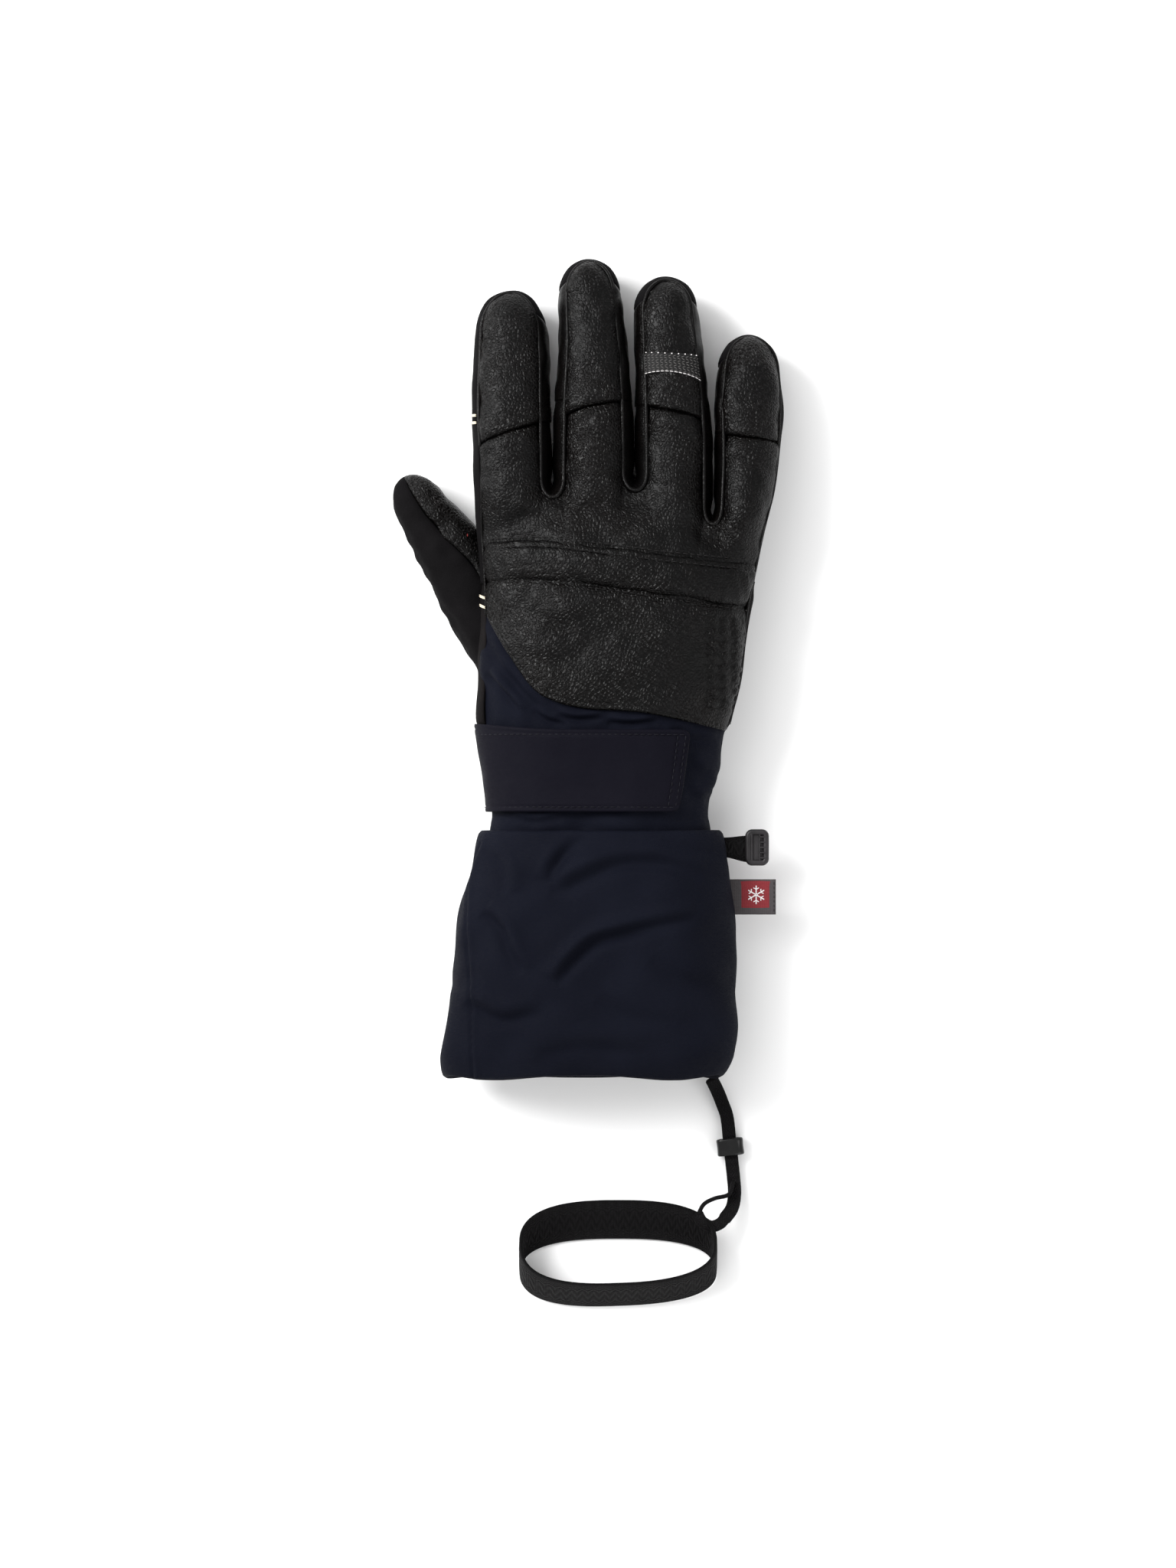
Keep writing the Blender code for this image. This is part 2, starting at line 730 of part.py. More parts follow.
def add_side_pieces():
    web, clip, label = CLIP_WEB, CLIP, LABEL
    for name, piece, finish, bevel in (
        ("link_webbing", web, "webbing", 0.4),
        ("link_clip", clip, "plastic", 0.8),
        ("side_label", label, "label", 0.2),
    ):
        low = (piece["x"][0], piece["y"][0], piece["z"] - piece["thick"] / 2)
        high = (piece["x"][1], piece["y"][1], piece["z"] + piece["thick"] / 2)
        box(name, low, high, finish, bevel)
    slot_end = clip["x"][1] - clip["bar"]
    low = (slot_end - clip["slot"], clip["y"][0] + clip["bar"], clip["z"] - clip["thick"])
    high = (slot_end, clip["y"][1] - clip["bar"], clip["z"] + clip["thick"])
    cut(bpy.data.objects["link_clip"], as_cutter(box("clip_slot_cutter", low, high, "plastic", 0.5)))


# The wrist leash


def smooth_route(points, count):
    """This many even steps on a smooth curve through the points."""
    table = [(k, *point) for k, point in enumerate(points)]
    return [Vector(smooth_table(table, at)) for at in spread(0, len(points) - 1, count)]


def add_leash():
    curve = bpy.data.curves.new("leash_cord", "CURVE")
    curve.dimensions = "3D"
    curve.twist_mode = "Z_UP"
    curve.bevel_depth = CORD_THICK / 2 * MM
    curve.extrude = (CORD_WIDTH - CORD_THICK) / 2 * MM
    curve.bevel_resolution = 2
    curve.use_fill_caps = True
    line = curve.splines.new("POLY")
    points = smooth_route(CORD_ROUTE, 16)
    line.points.add(len(points) - 1)
    for place, point in zip(line.points, points):
        place.co = (*(point * MM), 1.0)
        place.tilt = math.radians(90)
    curve.materials.append(material("webbing"))
    bpy.context.scene.collection.objects.link(bpy.data.objects.new("leash_cord", curve))

    size, hole = SLIDER["size"], SLIDER["hole"]
    half = [side / 2 for side in size]
    slider = box("leash_slider", [-side for side in half], half, "plastic", 1.0)
    bore_half = (hole[0] / 2, size[1], hole[1] / 2)
    bore = as_cutter(box("slider_bore_cutter", [-side for side in bore_half], bore_half, "plastic", 0.6))
    bore.parent = slider
    cut(slider, bore)
    slider.location = Vector(SLIDER["at"]) * MM
    slider.rotation_euler.z = math.radians(SLIDER["turn"])


def loop_point(angle, up):
    """The wrist loop's webbing, from its foot at up = 0 to its rim at up = 1."""
    turn = math.radians(angle)
    x = LOOP["x"] + LOOP["half"] * math.cos(turn)
    foot = Vector((x, LOOP_FOOT["y"] + LOOP_FOOT["half"] * math.sin(turn), 0.0))
    height = LOOP_RIM["height"] - LOOP_RIM["lean"] * math.sin(turn)
    rim = Vector((x, LOOP_RIM["y"] + LOOP_RIM["half"] * math.sin(turn), height))
    return foot.lerp(rim, up)


def add_wrist_loop():
    steps = LOOP["steps"]
    ring = [360.0 * k / steps for k in range(steps)]
    half = LOOP["thick"] / 2
    sheet_solid(
        "wrist_loop", loop_point, ring, lambda u: spread(0.06, 1.0, 2), (-half, half), "webbing", wrap=True
    )


def parent_to_pivot(name, at, children):
    """An empty on a joint's axis, which carries the pieces that turn on it."""
    pivot = bpy.data.objects.new(name, None)
    pivot.location = Vector(at) * MM
    bpy.context.scene.collection.objects.link(pivot)
    bpy.context.view_layer.update()
    for child in children:
        piece = bpy.data.objects[child]
        piece.parent = pivot
        piece.matrix_parent_inverse = pivot.matrix_world.inverted()


PIVOTS = {  # a point on each joint's axis, and the pieces that turn on it
    "strap_peel": ((-22.6, -40.5, 44.2), ["strap_tab", "hook_patch"]),
    "clip_swing": ((63.0, -71.5, 20.0), ["link_clip"]),
    "label_swing": ((59.0, -91.7, 20.0), ["side_label"]),
    "leash_swing": ((50.4, -165.6, 8.6), ["leash_cord", "leash_slider"]),
    "loop_swing": ((54.0, -223.2, 8.5), ["wrist_loop"]),
    "index_flex": ((-30.3, 105.0, FINGER_Z), "index"),
    "middle_flex": ((2.7, 116.0, FINGER_Z), "middle"),
    "ring_flex": ((33.9, 115.0, FINGER_Z), "ring"),
    "little_flex": ((64.9, 102.0, FINGER_Z), "little"),
    "thumb_flex": ((-54.1, 38.1, THUMB_Z), ["thumb_outer", "thumb_inner", "thumb_lining"]),
}
FINGER_PIECES = ("back", "palm", "left_fourchette", "right_fourchette", "lining")


def add_pivots():
    for name, (at, pieces) in PIVOTS.items():
        if isinstance(pieces, str):
            pieces = [f"{pieces}_{part}" for part in FINGER_PIECES]
        parent_to_pivot(name, at, [piece for piece in pieces if piece in bpy.data.objects])


def main():
    clear_scene()
    add_gauntlet()
    shells = add_hand()
    add_knuckle_band()
    add_wrist_strap()
    add_base_panel("knuckle_back", True)
    add_base_panel("knuckle_palm", False)
    for first, second in zip(list(FINGERS), list(FINGERS)[1:]):
        add_fourchette(first, second)
    for name in FINGERS:
        add_finger(name)
    add_wipe_strip()
    thumb_hole = add_thumb()
    for shell in shells:
        cut(shell, thumb_hole)
    add_side_pieces()
    add_leash()
    add_wrist_loop()
    add_pivots()


main()
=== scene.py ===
import bpy
import numpy as np
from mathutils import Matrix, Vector


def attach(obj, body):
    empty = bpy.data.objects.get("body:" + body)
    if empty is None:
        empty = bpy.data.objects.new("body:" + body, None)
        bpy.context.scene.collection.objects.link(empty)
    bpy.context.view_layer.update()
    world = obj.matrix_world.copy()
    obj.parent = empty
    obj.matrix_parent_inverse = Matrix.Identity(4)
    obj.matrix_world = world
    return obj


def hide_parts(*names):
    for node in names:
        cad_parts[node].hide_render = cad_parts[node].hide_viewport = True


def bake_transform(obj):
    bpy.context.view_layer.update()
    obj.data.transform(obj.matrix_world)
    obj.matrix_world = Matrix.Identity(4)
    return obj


# A right-hand ski glove, palm down. Its shapes are in millimetres and degrees, and become metres in meshObject.

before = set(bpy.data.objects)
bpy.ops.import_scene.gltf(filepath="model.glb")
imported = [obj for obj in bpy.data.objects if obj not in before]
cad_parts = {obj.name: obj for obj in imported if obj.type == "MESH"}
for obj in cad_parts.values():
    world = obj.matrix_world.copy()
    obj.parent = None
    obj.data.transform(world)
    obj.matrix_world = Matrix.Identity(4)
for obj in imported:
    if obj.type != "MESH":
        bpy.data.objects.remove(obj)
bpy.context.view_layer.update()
mm = 0.001

# ---- camera, floor and light

view = {"middle": (0.46, -46.3, 22.0), "distance": 4000.0, "frameHeight": 630.2, "sensor": 36.0}
studio = {
    "floorSize": 6.0,
    "worldStrength": 0.76,
    "lamps": {
        "keyLamp": {"at": (-1.2, 0.65, 1.10), "size": 0.9, "power": 46.0},
        "topLamp": {"at": (-0.9, 1.1, 1.9), "size": 1.6, "power": 18.0},
        "fillLamp": {"at": (1.4, -1.1, 1.4), "size": 1.8, "power": 20.0},
    },
}


def addCamera():
    data = bpy.data.cameras.new("camera")
    data.sensor_width = view["sensor"]
    data.lens = view["sensor"] * view["distance"] / view["frameHeight"]
    data.clip_end = 20.0
    camera = bpy.data.objects.new("camera", data)
    x, y, z = view["middle"]
    camera.location = (x * mm, y * mm, (z + view["distance"]) * mm)
    bpy.context.scene.collection.objects.link(camera)
    bpy.context.scene.camera = camera


def addStudio():
    world = bpy.data.worlds.new("studio")
    world.use_nodes = True
    background = world.node_tree.nodes["Background"]
    background.inputs["Color"].default_value = (1.0, 1.0, 1.0, 1.0)
    background.inputs["Strength"].default_value = studio["worldStrength"]
    bpy.context.scene.world = world
    bpy.context.scene.view_settings.view_transform = "Standard"
    for name, lamp in studio["lamps"].items():
        data = bpy.data.lights.new(name, "AREA")
        data.size = lamp["size"]
        data.energy = lamp["power"]
        light = bpy.data.objects.new(name, data)
        light.location = lamp["at"]
        light.rotation_mode = "QUATERNION"
        light.rotation_quaternion = (-Vector(lamp["at"])).to_track_quat("-Z", "Y")
        bpy.context.scene.collection.objects.link(light)


addCamera()
addStudio()
print("camera and light ready")

# ---- shader maths


# A socket's value in a material: sums, products and the like on it add Math nodes.
class Signal:
    def __init__(self, graph, socket):
        self.graph = graph
        self.socket = socket

    def math(self, operation, *others):
        return self.graph.node("ShaderNodeMath", {"operation": operation}, {0: self, **dict(enumerate(others, 1))})

    def __add__(self, other):
        return self.math("ADD", other)

    def __radd__(self, other):
        return self.math("ADD", other)

    def __sub__(self, other):
        return self.math("SUBTRACT", other)

    def __rsub__(self, other):
        return self.graph.node("ShaderNodeMath", {"operation": "SUBTRACT"}, {0: other, 1: self})

    def __mul__(self, other):
        return self.math("MULTIPLY", other)

    def __rmul__(self, other):
        return self.math("MULTIPLY", other)

    def __truediv__(self, other):
        return self.math("DIVIDE", other)


# One material and its nodes.
class Finish:
    def __init__(self, name):
        self.material = bpy.data.materials.new(name)
        self.material.use_nodes = True
        self.tree = self.material.node_tree
        self.shader = self.tree.nodes["Principled BSDF"]

    # any node: its kind, its settings, the values or links of its sockets, and which output is wanted
    def node(self, kind, settings=None, sockets=None, output=0):
        made = self.tree.nodes.new(kind)
        for name, value in (settings or {}).items():
            setattr(made, name, value)
        for name, value in (sockets or {}).items():
            self.plug(made.inputs[name], value)
        return Signal(self, made.outputs[output])

    def plug(self, socket, value):
        if isinstance(value, Signal):
            self.tree.links.new(value.socket, socket)
        else:
            socket.default_value = value

    def set(self, **sockets):
        for name, value in sockets.items():
            self.plug(self.shader.inputs[name.replace("_", " ")], value)
        return self

    def place(self):
        return self.node("ShaderNodeTexCoord", output="Object")

    def uv(self):
        return self.node("ShaderNodeUVMap", {"uv_map": "weave"})

    def scaled(self, vector, scale):
        return self.node("ShaderNodeVectorMath", {"operation": "MULTIPLY"}, {0: vector, 1: scale})

    # the three numbers of a vector
    def parts(self, vector):
        first = self.node("ShaderNodeSeparateXYZ", None, {0: vector})
        return [Signal(self, output) for output in first.socket.node.outputs]

    def noise(self, vector, scale, detail=2.0, roughness=0.5):
        sockets = {"Vector": vector, "Scale": scale, "Detail": detail, "Roughness": roughness}
        return self.node("ShaderNodeTexNoise", {"normalize": True}, sockets)

    def cells(self, vector, scale, feature="F1", output=0):
        sockets = {"Vector": vector, "Scale": scale}
        return self.node("ShaderNodeTexVoronoi", {"feature": feature}, sockets, output)

    # a value carried from one range to another, and held at its ends
    def fit(self, value, low, high, newLow=0.0, newHigh=1.0):
        sockets = {"Value": value, "From Min": low, "From Max": high, "To Min": newLow, "To Max": newHigh}
        return self.node("ShaderNodeMapRange", {"interpolation_type": "SMOOTHSTEP"}, sockets)

    def colours(self, share, first, second):
        return self.node("ShaderNodeMix", {"data_type": "RGBA"}, {0: share, 6: (*first, 1.0), 7: (*second, 1.0)}, 2)

    def bump(self, height, distance, strength=1.0, under=None):
        sockets = {"Height": height, "Distance": distance, "Strength": strength}
        if under is not None:
            sockets["Normal"] = under
        return self.node("ShaderNodeBump", None, sockets)


leatherLook = {
    "grain": 690.0,
    "fineGrain": 1500.0,
    "grainDepth": 0.00030,
    "creaseDepth": 0.0004,
    "dark": (0.0005, 0.0004, 0.0004),
    "light": (0.0024, 0.0019, 0.0018),
    "roughness": (0.27, 0.42),
}


# Full-grain leather: round pebbles from warped cells, finer pores between them, and slow cloudy wear.
def leatherFinish(name, look):
    finish = Finish(name)
    place = finish.place()
    drift = finish.noise(place, 260.0, 2.0)
    warped = finish.node(
        "ShaderNodeVectorMath", {"operation": "MULTIPLY_ADD"}, {0: drift, 1: (0.0011, 0.0011, 0.0011), 2: place}
    )
    pebble = finish.fit(finish.cells(warped, look["grain"], "DISTANCE_TO_EDGE"), 0.0, 0.32)
    pores = finish.noise(place, look["fineGrain"], 3.0, 0.6)
    patches = finish.fit(finish.noise(place, 38.0, 3.0, 0.6), 0.35, 0.68)
    creases = finish.noise(finish.scaled(place, (1.0, 2.2, 1.0)), 150.0, 3.0, 0.55)
    height = pebble * (0.45 + 0.55 * patches) + pores * 0.35
    relief = finish.bump(height, look["grainDepth"])
    relief = finish.bump(creases, look["creaseDepth"], 0.5, relief)
    shade = finish.fit(patches * 0.6 + pebble * 0.5, 0.1, 1.0)
    low, high = look["roughness"]
    finish.set(
        Base_Color=finish.colours(shade, look["dark"], look["light"]),
        Roughness=finish.fit(pores * 0.6 + (1 - patches) * 0.5, 0.2, 0.95, low, high),
        Normal=relief,
        Specular_IOR_Level=0.115,
    )
    return finish.material


suedeLook = {"dark": (0.0018, 0.0016, 0.0018), "light": (0.0044, 0.0039, 0.0044), "nap": 900.0, "napDepth": 0.00018}
palmLook = {**suedeLook, "dark": (0.0030, 0.0026, 0.0028), "light": (0.0078, 0.0068, 0.0070)}


# Napped leather: short uneven fibres, brushed in patches.
def suedeFinish(name, look):
    finish = Finish(name)
    place = finish.place()
    nap = finish.noise(place, look["nap"], 4.0, 0.7)
    brushed = finish.fit(finish.noise(place, 60.0, 3.0, 0.6), 0.3, 0.7)
    finish.set(
        Base_Color=finish.colours(nap * 0.5 + brushed * 0.5, look["dark"], look["light"]),
        Roughness=0.86 + 0.1 * nap,
        Normal=finish.bump(nap, look["napDepth"]),
        Specular_IOR_Level=0.06,
    )
    return finish.material


shellLook = {
    "dark": (0.0017, 0.0021, 0.0052),
    "light": (0.0040, 0.0048, 0.0096),
    "thread": 0.00034,
    "threadDepth": 0.00006,
    "roughness": (0.66, 0.84),
    "specular": 0.055,
}


# Woven shell fabric: two crossed sets of fine threads on a slant, over soft crumpling.
def wovenFinish(name, look):
    finish = Finish(name)
    place = finish.place()
    across, along, up = finish.parts(place)
    turn = 2 * np.pi / look["thread"]
    warp = ((across + along * 0.5 + up * 0.8) * turn).math("SINE")
    weft = ((along - across * 0.5 + up * 0.6) * turn).math("SINE")
    threads = finish.node("ShaderNodeMath", {"operation": "MAXIMUM"}, {0: warp, 1: weft})
    slub = finish.noise(finish.scaled(place, (1.0, 3.0, 1.0)), 520.0, 3.0, 0.6)
    crumple = finish.noise(place, 75.0, 3.0, 0.55)
    cloud = finish.fit(finish.noise(place, 26.0, 2.0), 0.3, 0.7)
    relief = finish.bump(threads * 0.5 + slub * 0.8, look["threadDepth"])
    relief = finish.bump(crumple, 0.0008, 0.45, relief)
    low, high = look["roughness"]
    finish.set(
        Base_Color=finish.colours(cloud * 0.55 + slub * 0.45, look["dark"], look["light"]),
        Roughness=finish.fit(slub, 0.2, 0.8, low, high),
        Normal=relief,
        Specular_IOR_Level=look["specular"],
    )
    return finish.material


strapLook = {
    "dark": (0.0024, 0.0022, 0.0050),
    "light": (0.0036, 0.0033, 0.0066),
    "thread": 0.00026,
    "threadDepth": 0.00003,
    "roughness": (0.55, 0.68),
    "specular": 0.05,
}
webbingLook = {
    "rib": 0.0011,
    "ribDepth": 0.00035,
    "dark": (0.0011, 0.0009, 0.0011),
    "light": (0.0042, 0.0037, 0.0042),
}


# Narrow webbing: a herringbone of ribs laid out on the piece's own map, with x across and y along, in metres.
def webbingFinish(name, look, ribs=1.0):
    finish = Finish(name)
    across, along, _ = finish.parts(finish.uv())
    rib = look["rib"] * ribs
    fold = (across / (rib * 2.0)).math("PINGPONG", 1.0) * rib
    twill = ((along + fold) * (2 * np.pi / rib)).math("SINE") * 0.5 + 0.5
    cords = (across * (2 * np.pi / rib)).math("SINE") * 0.5 + 0.5
    fuzz = finish.noise(finish.place(), 1500.0, 2.0)
    height = twill * 0.7 + cords * 0.3
    finish.set(
        Base_Color=finish.colours(finish.fit(height * 0.8 + fuzz * 0.3, 0.1, 1.0), look["dark"], look["light"]),
        Roughness=0.62 + 0.2 * fuzz,
        Normal=finish.bump(height + fuzz * 0.3, look["ribDepth"]),
        Specular_IOR_Level=0.1,
    )
    return finish.material


# Brushed lining: curly pile in clumps.
def fleeceFinish(name):
    finish = Finish(name)
    place = finish.place()
    pile = finish.noise(place, 1100.0, 4.0, 0.75)
    clumps = finish.cells(place, 420.0)
    finish.set(
        Base_Color=finish.colours(pile * 0.7 + clumps * 0.4, (0.007, 0.007, 0.008), (0.021, 0.021, 0.024)),
        Roughness=0.9 + 0.08 * pile,
        Normal=finish.bump(pile + clumps * 0.8, 0.0005),
        Specular_IOR_Level=0.12,
    )
    return finish.material


# Moulded plastic or rubber: a fine spark-eroded texture with a few rubbed patches.
def mouldedFinish(name, dark, light, roughness, depth=0.00003):
    finish = Finish(name)
    place = finish.place()
    texture = finish.noise(place, 2600.0, 3.0, 0.6)
    rubbed = finish.fit(finish.noise(place, 210.0, 3.0), 0.35, 0.75)
    low, high = roughness
    finish.set(
        Base_Color=finish.colours(rubbed * 0.7 + texture * 0.3, dark, light),
        Roughness=finish.fit(texture * 0.5 + rubbed * 0.5, 0.2, 0.8, low, high),
        Normal=finish.bump(texture, depth),
        Specular_IOR_Level=0.28,
    )
    return finish.material


# Twisted sewing thread: fine slanting ply lines.
def threadFinish(name, dark, light):
    finish = Finish(name)
    place = finish.place()
    ply = finish.noise(place, 3800.0, 2.0)
    finish.set(
        Base_Color=finish.colours(ply, dark, light),
        Roughness=0.5 + 0.2 * ply,
        Normal=finish.bump(ply, 0.00008),
        Specular_IOR_Level=0.15,
    )
    return finish.material


# Open-cell foam: small round pits.
def foamFinish(name):
    finish = Finish(name)
    pits = finish.cells(finish.place(), 900.0)
    finish.set(
        Base_Color=finish.colours(pits, (0.03, 0.03, 0.034), (0.07, 0.07, 0.075)),
        Roughness=0.85 + 0.1 * pits,
        Normal=finish.bump(pits, 0.0004),
    )
    return finish.material


# Jacquard ribbon: a coloured field with fine crossing threads.
def ribbonFinish(name, dark, light):
    finish = Finish(name)
    across, along, _ = finish.parts(finish.place())
    lines = (across * (2 * np.pi / 0.0005)).math("SINE") * 0.5 + 0.5
    picks = (along * (2 * np.pi / 0.0004)).math("SINE") * 0.5 + 0.5
    fuzz = finish.noise(finish.place(), 1800.0, 2.0)
    height = lines * 0.5 + picks * 0.5
    finish.set(
        Base_Color=finish.colours(finish.fit(height * 0.6 + fuzz * 0.5, 0.1, 0.9), dark, light),
        Roughness=0.6 + 0.15 * fuzz,
        Normal=finish.bump(height, 0.00006),
        Specular_IOR_Level=0.25,
    )
    return finish.material


# A plain pale floor.
def floorFinish():
    finish = Finish("paleFloor")
    mottle = finish.noise(finish.place(), 3.0)
    finish.set(Base_Color=finish.colours(mottle, (0.90, 0.90, 0.90), (0.92, 0.92, 0.92)), Roughness=0.9 + 0.05 * mottle)
    return finish.material


finishes = {
    "floor": floorFinish(),
    "leather": leatherFinish("pebbledLeather", leatherLook),
    "piping": leatherFinish("pipingLeather", {**leatherLook, "grain": 1100.0, "grainDepth": 0.00008}),
    "suede": suedeFinish("thumbSuede", suedeLook),
    "palm": suedeFinish("palmLeather", palmLook),
    "shell": wovenFinish("navyShell", shellLook),
    "strap": wovenFinish("strapFabric", strapLook),
    "webbing": webbingFinish("loopWebbing", webbingLook),
    "tape": webbingFinish("leashTapeWeave", webbingLook, 0.6),
    "lining": fleeceFinish("brushedLining"),
    "foam": foamFinish("paddingFoam"),
    "clip": mouldedFinish("clipPlastic", (0.009, 0.0082, 0.009), (0.020, 0.018, 0.020), (0.36, 0.52)),
    "slider": mouldedFinish("sliderPlastic", (0.004, 0.004, 0.004), (0.008, 0.008, 0.008), (0.12, 0.22), 0.00001),
    "darkThread": threadFinish("blackThread", (0.0030, 0.0028, 0.0030), (0.0110, 0.0100, 0.0100)),
    "navyThread": threadFinish("navyThread", (0.0022, 0.0022, 0.0045), (0.0060, 0.0060, 0.0100)),
    "paleThread": threadFinish("creamThread", (0.42, 0.36, 0.26), (0.80, 0.74, 0.60)),
    "redThread": threadFinish("redThread", (0.10, 0.01, 0.01), (0.22, 0.03, 0.03)),
    "labelGrey": ribbonFinish("labelGrey", (0.030, 0.026, 0.027), (0.062, 0.055, 0.058)),
    "labelRed": ribbonFinish("labelRed", (0.12, 0.008, 0.012), (0.21, 0.020, 0.026)),
    "labelWhite": threadFinish("labelWhite", (0.55, 0.52, 0.52), (0.85, 0.82, 0.82)),
    "wipe": ribbonFinish("wipeGround", (0.001, 0.001, 0.001), (0.003, 0.0028, 0.0028)),
    "wipeThread": threadFinish("wipeThread", (0.05, 0.048, 0.048), (0.13, 0.125, 0.12)),
}
print("finishes ready:", len(finishes))

# ---- surfaces

roundness = 2.4  # power of the rounded sections: 2 is an ellipse, more is boxier
floorGap = 0.15  # how far above the floor the lowest faces stay


# A smooth curve through a table's rows: each span is a cubic whose slopes come from the rows beside it.
def smoothTable(table, at):
    rows = np.asarray(table, float)
    places, values = rows[:, 0], rows[:, 1:]
    at = np.clip(np.asarray(at, float), places[0], places[-1])
    i = np.clip(np.searchsorted(places, at, side="right") - 1, 0, len(rows) - 2)
    before, after = np.maximum(i - 1, 0), np.minimum(i + 2, len(rows) - 1)
    span = places[i + 1] - places[i]
    t = ((at - places[i]) / span)[..., None]
    slopeA = (values[i + 1] - values[before]) * (span / (places[i + 1] - places[before]))[..., None]
    slopeB = (values[after] - values[i]) * (span / (places[after] - places[i]))[..., None]
    start = values[i] * (2 * t**3 - 3 * t**2 + 1) + slopeA * (t**3 - 2 * t**2 + t)
    return start + values[i + 1] * (3 * t**2 - 2 * t**3) + slopeB * (t**3 - t**2)


# A soft step from 0 to 1: three times the square less twice the cube.
def ease(t):
    t = np.clip(t, 0.0, 1.0)
    return t * t * (3 - 2 * t)


# A sine or cosine pushed out towards a rounded box: its size to the power 2 / power, with its own sign.
def bulge(value, power=roundness):
    return np.copysign(np.abs(value) ** (2 / power), value)


# A rounded section: its middle plus half its size times the bulged cosine across and sine up.
def section(angle, edges, y, shrink=1.0):
    turn = np.radians(angle)
    left, right, low, top = np.moveaxis(edges, -1, 0)
    x = (left + right) / 2 + (right - left) / 2 * shrink * bulge(np.cos(turn))
    z = (low + top) / 2 + (top - low) / 2 * shrink * bulge(np.sin(turn))
    return np.stack(np.broadcast_arrays(x, y, np.maximum(z, floorGap)), -1)


# The middle of a section: halfway between its edges, and at least 9 mm above the floor.
def middleOf(table, y):
    left, right, low, top = np.moveaxis(smoothTable(table, y), -1, 0)
    return np.stack(np.broadcast_arrays((left + right) / 2, y, np.maximum((low + top) / 2, 9.0)), -1)


# Angles that are evenly far apart around a rounded section of these half sizes.
def evenAngles(first, last, count, halfX=1.0, halfZ=1.0):
    fine = np.linspace(first, last, 2000)
    turn = np.radians(fine)
    x, z = halfX * bulge(np.cos(turn)), halfZ * bulge(np.sin(turn))
    length = np.concatenate([[0.0], np.cumsum(np.hypot(np.diff(x), np.diff(z)))])
    return np.interp(np.linspace(0, length[-1], count), length, fine)


hand = {
    "sections": [  # y, left edge, right edge, underside, top
        (-164.5, -58.5, 55.0, 0.0, 42.0),
        (-155.0, -59.0, 59.5, -1.0, 46.0),
        (-128.0, -53.5, 60.5, -2.0, 50.0),
        (-100.0, -51.5, 59.0, -2.0, 51.0),
        (-82.0, -46.5, 57.5, -2.0, 49.0),
        (-68.0, -43.0, 54.0, -2.0, 46.5),
        (-59.0, -39.0, 50.0, -2.0, 44.5),
        (-45.0, -40.0, 52.5, -2.0, 44.5),
        (-22.0, -43.0, 57.0, -2.0, 46.0),
        (0.0, -43.5, 62.0, -2.0, 47.0),
        (25.0, -42.5, 65.5, -2.0, 47.0),
        (45.0, -43.5, 69.5, -1.0, 46.0),
        (62.0, -44.7, 73.0, 2.0, 43.0),
        (84.0, -45.0, 77.0, 6.0, 40.0),
    ],
    "halfX": 54.0,
    "halfZ": 24.0,
    "leftSeam": 17.0,  # how far above its side the back of the hand ends, as an angle
    "rightSeam": 12.0,
}
fingers = {
    "index": {
        "sections": [
            (45.0, -43.7, -14.6, 1.0, 44.0),
            (84.0, -44.9, -14.6, 6.0, 38.5),
            (103.0, -45.9, -14.8, 7.0, 37.0),
            (130.0, -45.0, -15.4, 4.0, 31.0),
            (145.0, -44.0, -17.0, 2.0, 28.0),
        ],
        "tip": 152.4,
        "rounded": 15.5,
        "join": ((50.0, 76.0), (50.0, 76.0)),
        "seams": (36.0, 45.0),
        "crossSeam": (89.5, 99.0, 0.6),
        "zone": (99.5, 122.5),
        "columns": 34,
    },
    "middle": {
        "sections": [
            (45.0, -13.3, 18.4, 1.0, 44.5),
            (84.0, -13.2, 18.5, 6.0, 39.0),
            (109.0, -12.6, 17.9, 7.0, 37.0),
            (130.0, -11.2, 16.2, 5.0, 33.0),
            (150.0, -11.2, 13.6, 2.0, 28.5),
        ],
        "tip": 165.0,
        "rounded": 14.5,
        "join": ((50.0, 76.0), (52.0, 78.7)),
        "seams": (45.0, 45.0),
        "crossSeam": (101.5, 107.2, 1.2),
        "zone": (108.0, 131.0),
        "columns": 30,
    },
    "ring": {
        "sections": [
            (45.0, 19.7, 49.8, 1.0, 44.0),
            (84.0, 19.8, 50.0, 6.0, 38.5),
            (103.0, 19.6, 49.3, 7.0, 37.0),
            (121.0, 19.4, 47.4, 5.0, 33.0),
            (144.0, 18.9, 44.6, 2.0, 28.5),
        ],
        "tip": 157.6,
        "rounded": 14.5,
        "join": ((52.0, 78.7), (40.0, 65.2)),
        "seams": (48.0, 40.0),
        "crossSeam": (105.4, 100.2, 0.5),
        "zone": (106.0, 129.0),
        "columns": 28,
    },
    "little": {
        "sections": [
            (45.0, 51.3, 69.0, 1.0, 43.0),
            (66.0, 51.5, 73.4, 4.0, 40.0),
            (84.0, 51.8, 77.0, 6.0, 36.5),
            (108.0, 51.4, 78.3, 5.0, 33.0),
            (124.0, 53.0, 77.3, 2.0, 28.5),
        ],
        "tip": 134.4,
        "rounded": 13.5,
        "join": ((40.0, 65.2), (40.0, 65.2)),
        "seams": (45.0, 24.0),
        "crossSeam": (94.0, 90.6, 0.2),
        "zone": (95.0, 118.0),
        "columns": 26,
    },
}
slits = {  # the gaps between fingers: their lowest point and the height of their rounded end
    ("index", "middle"): {"bottom": 68.5, "curve": 7.5},
    ("middle", "ring"): {"bottom": 71.2, "curve": 7.5},
    ("ring", "little"): {"bottom": 57.7, "curve": 7.5},
}
slitHalf = 4.6  # half the width of a gap
slitMiddles = [-13.95, 19.05, 50.55]  # where each gap lies in x, at this height in y
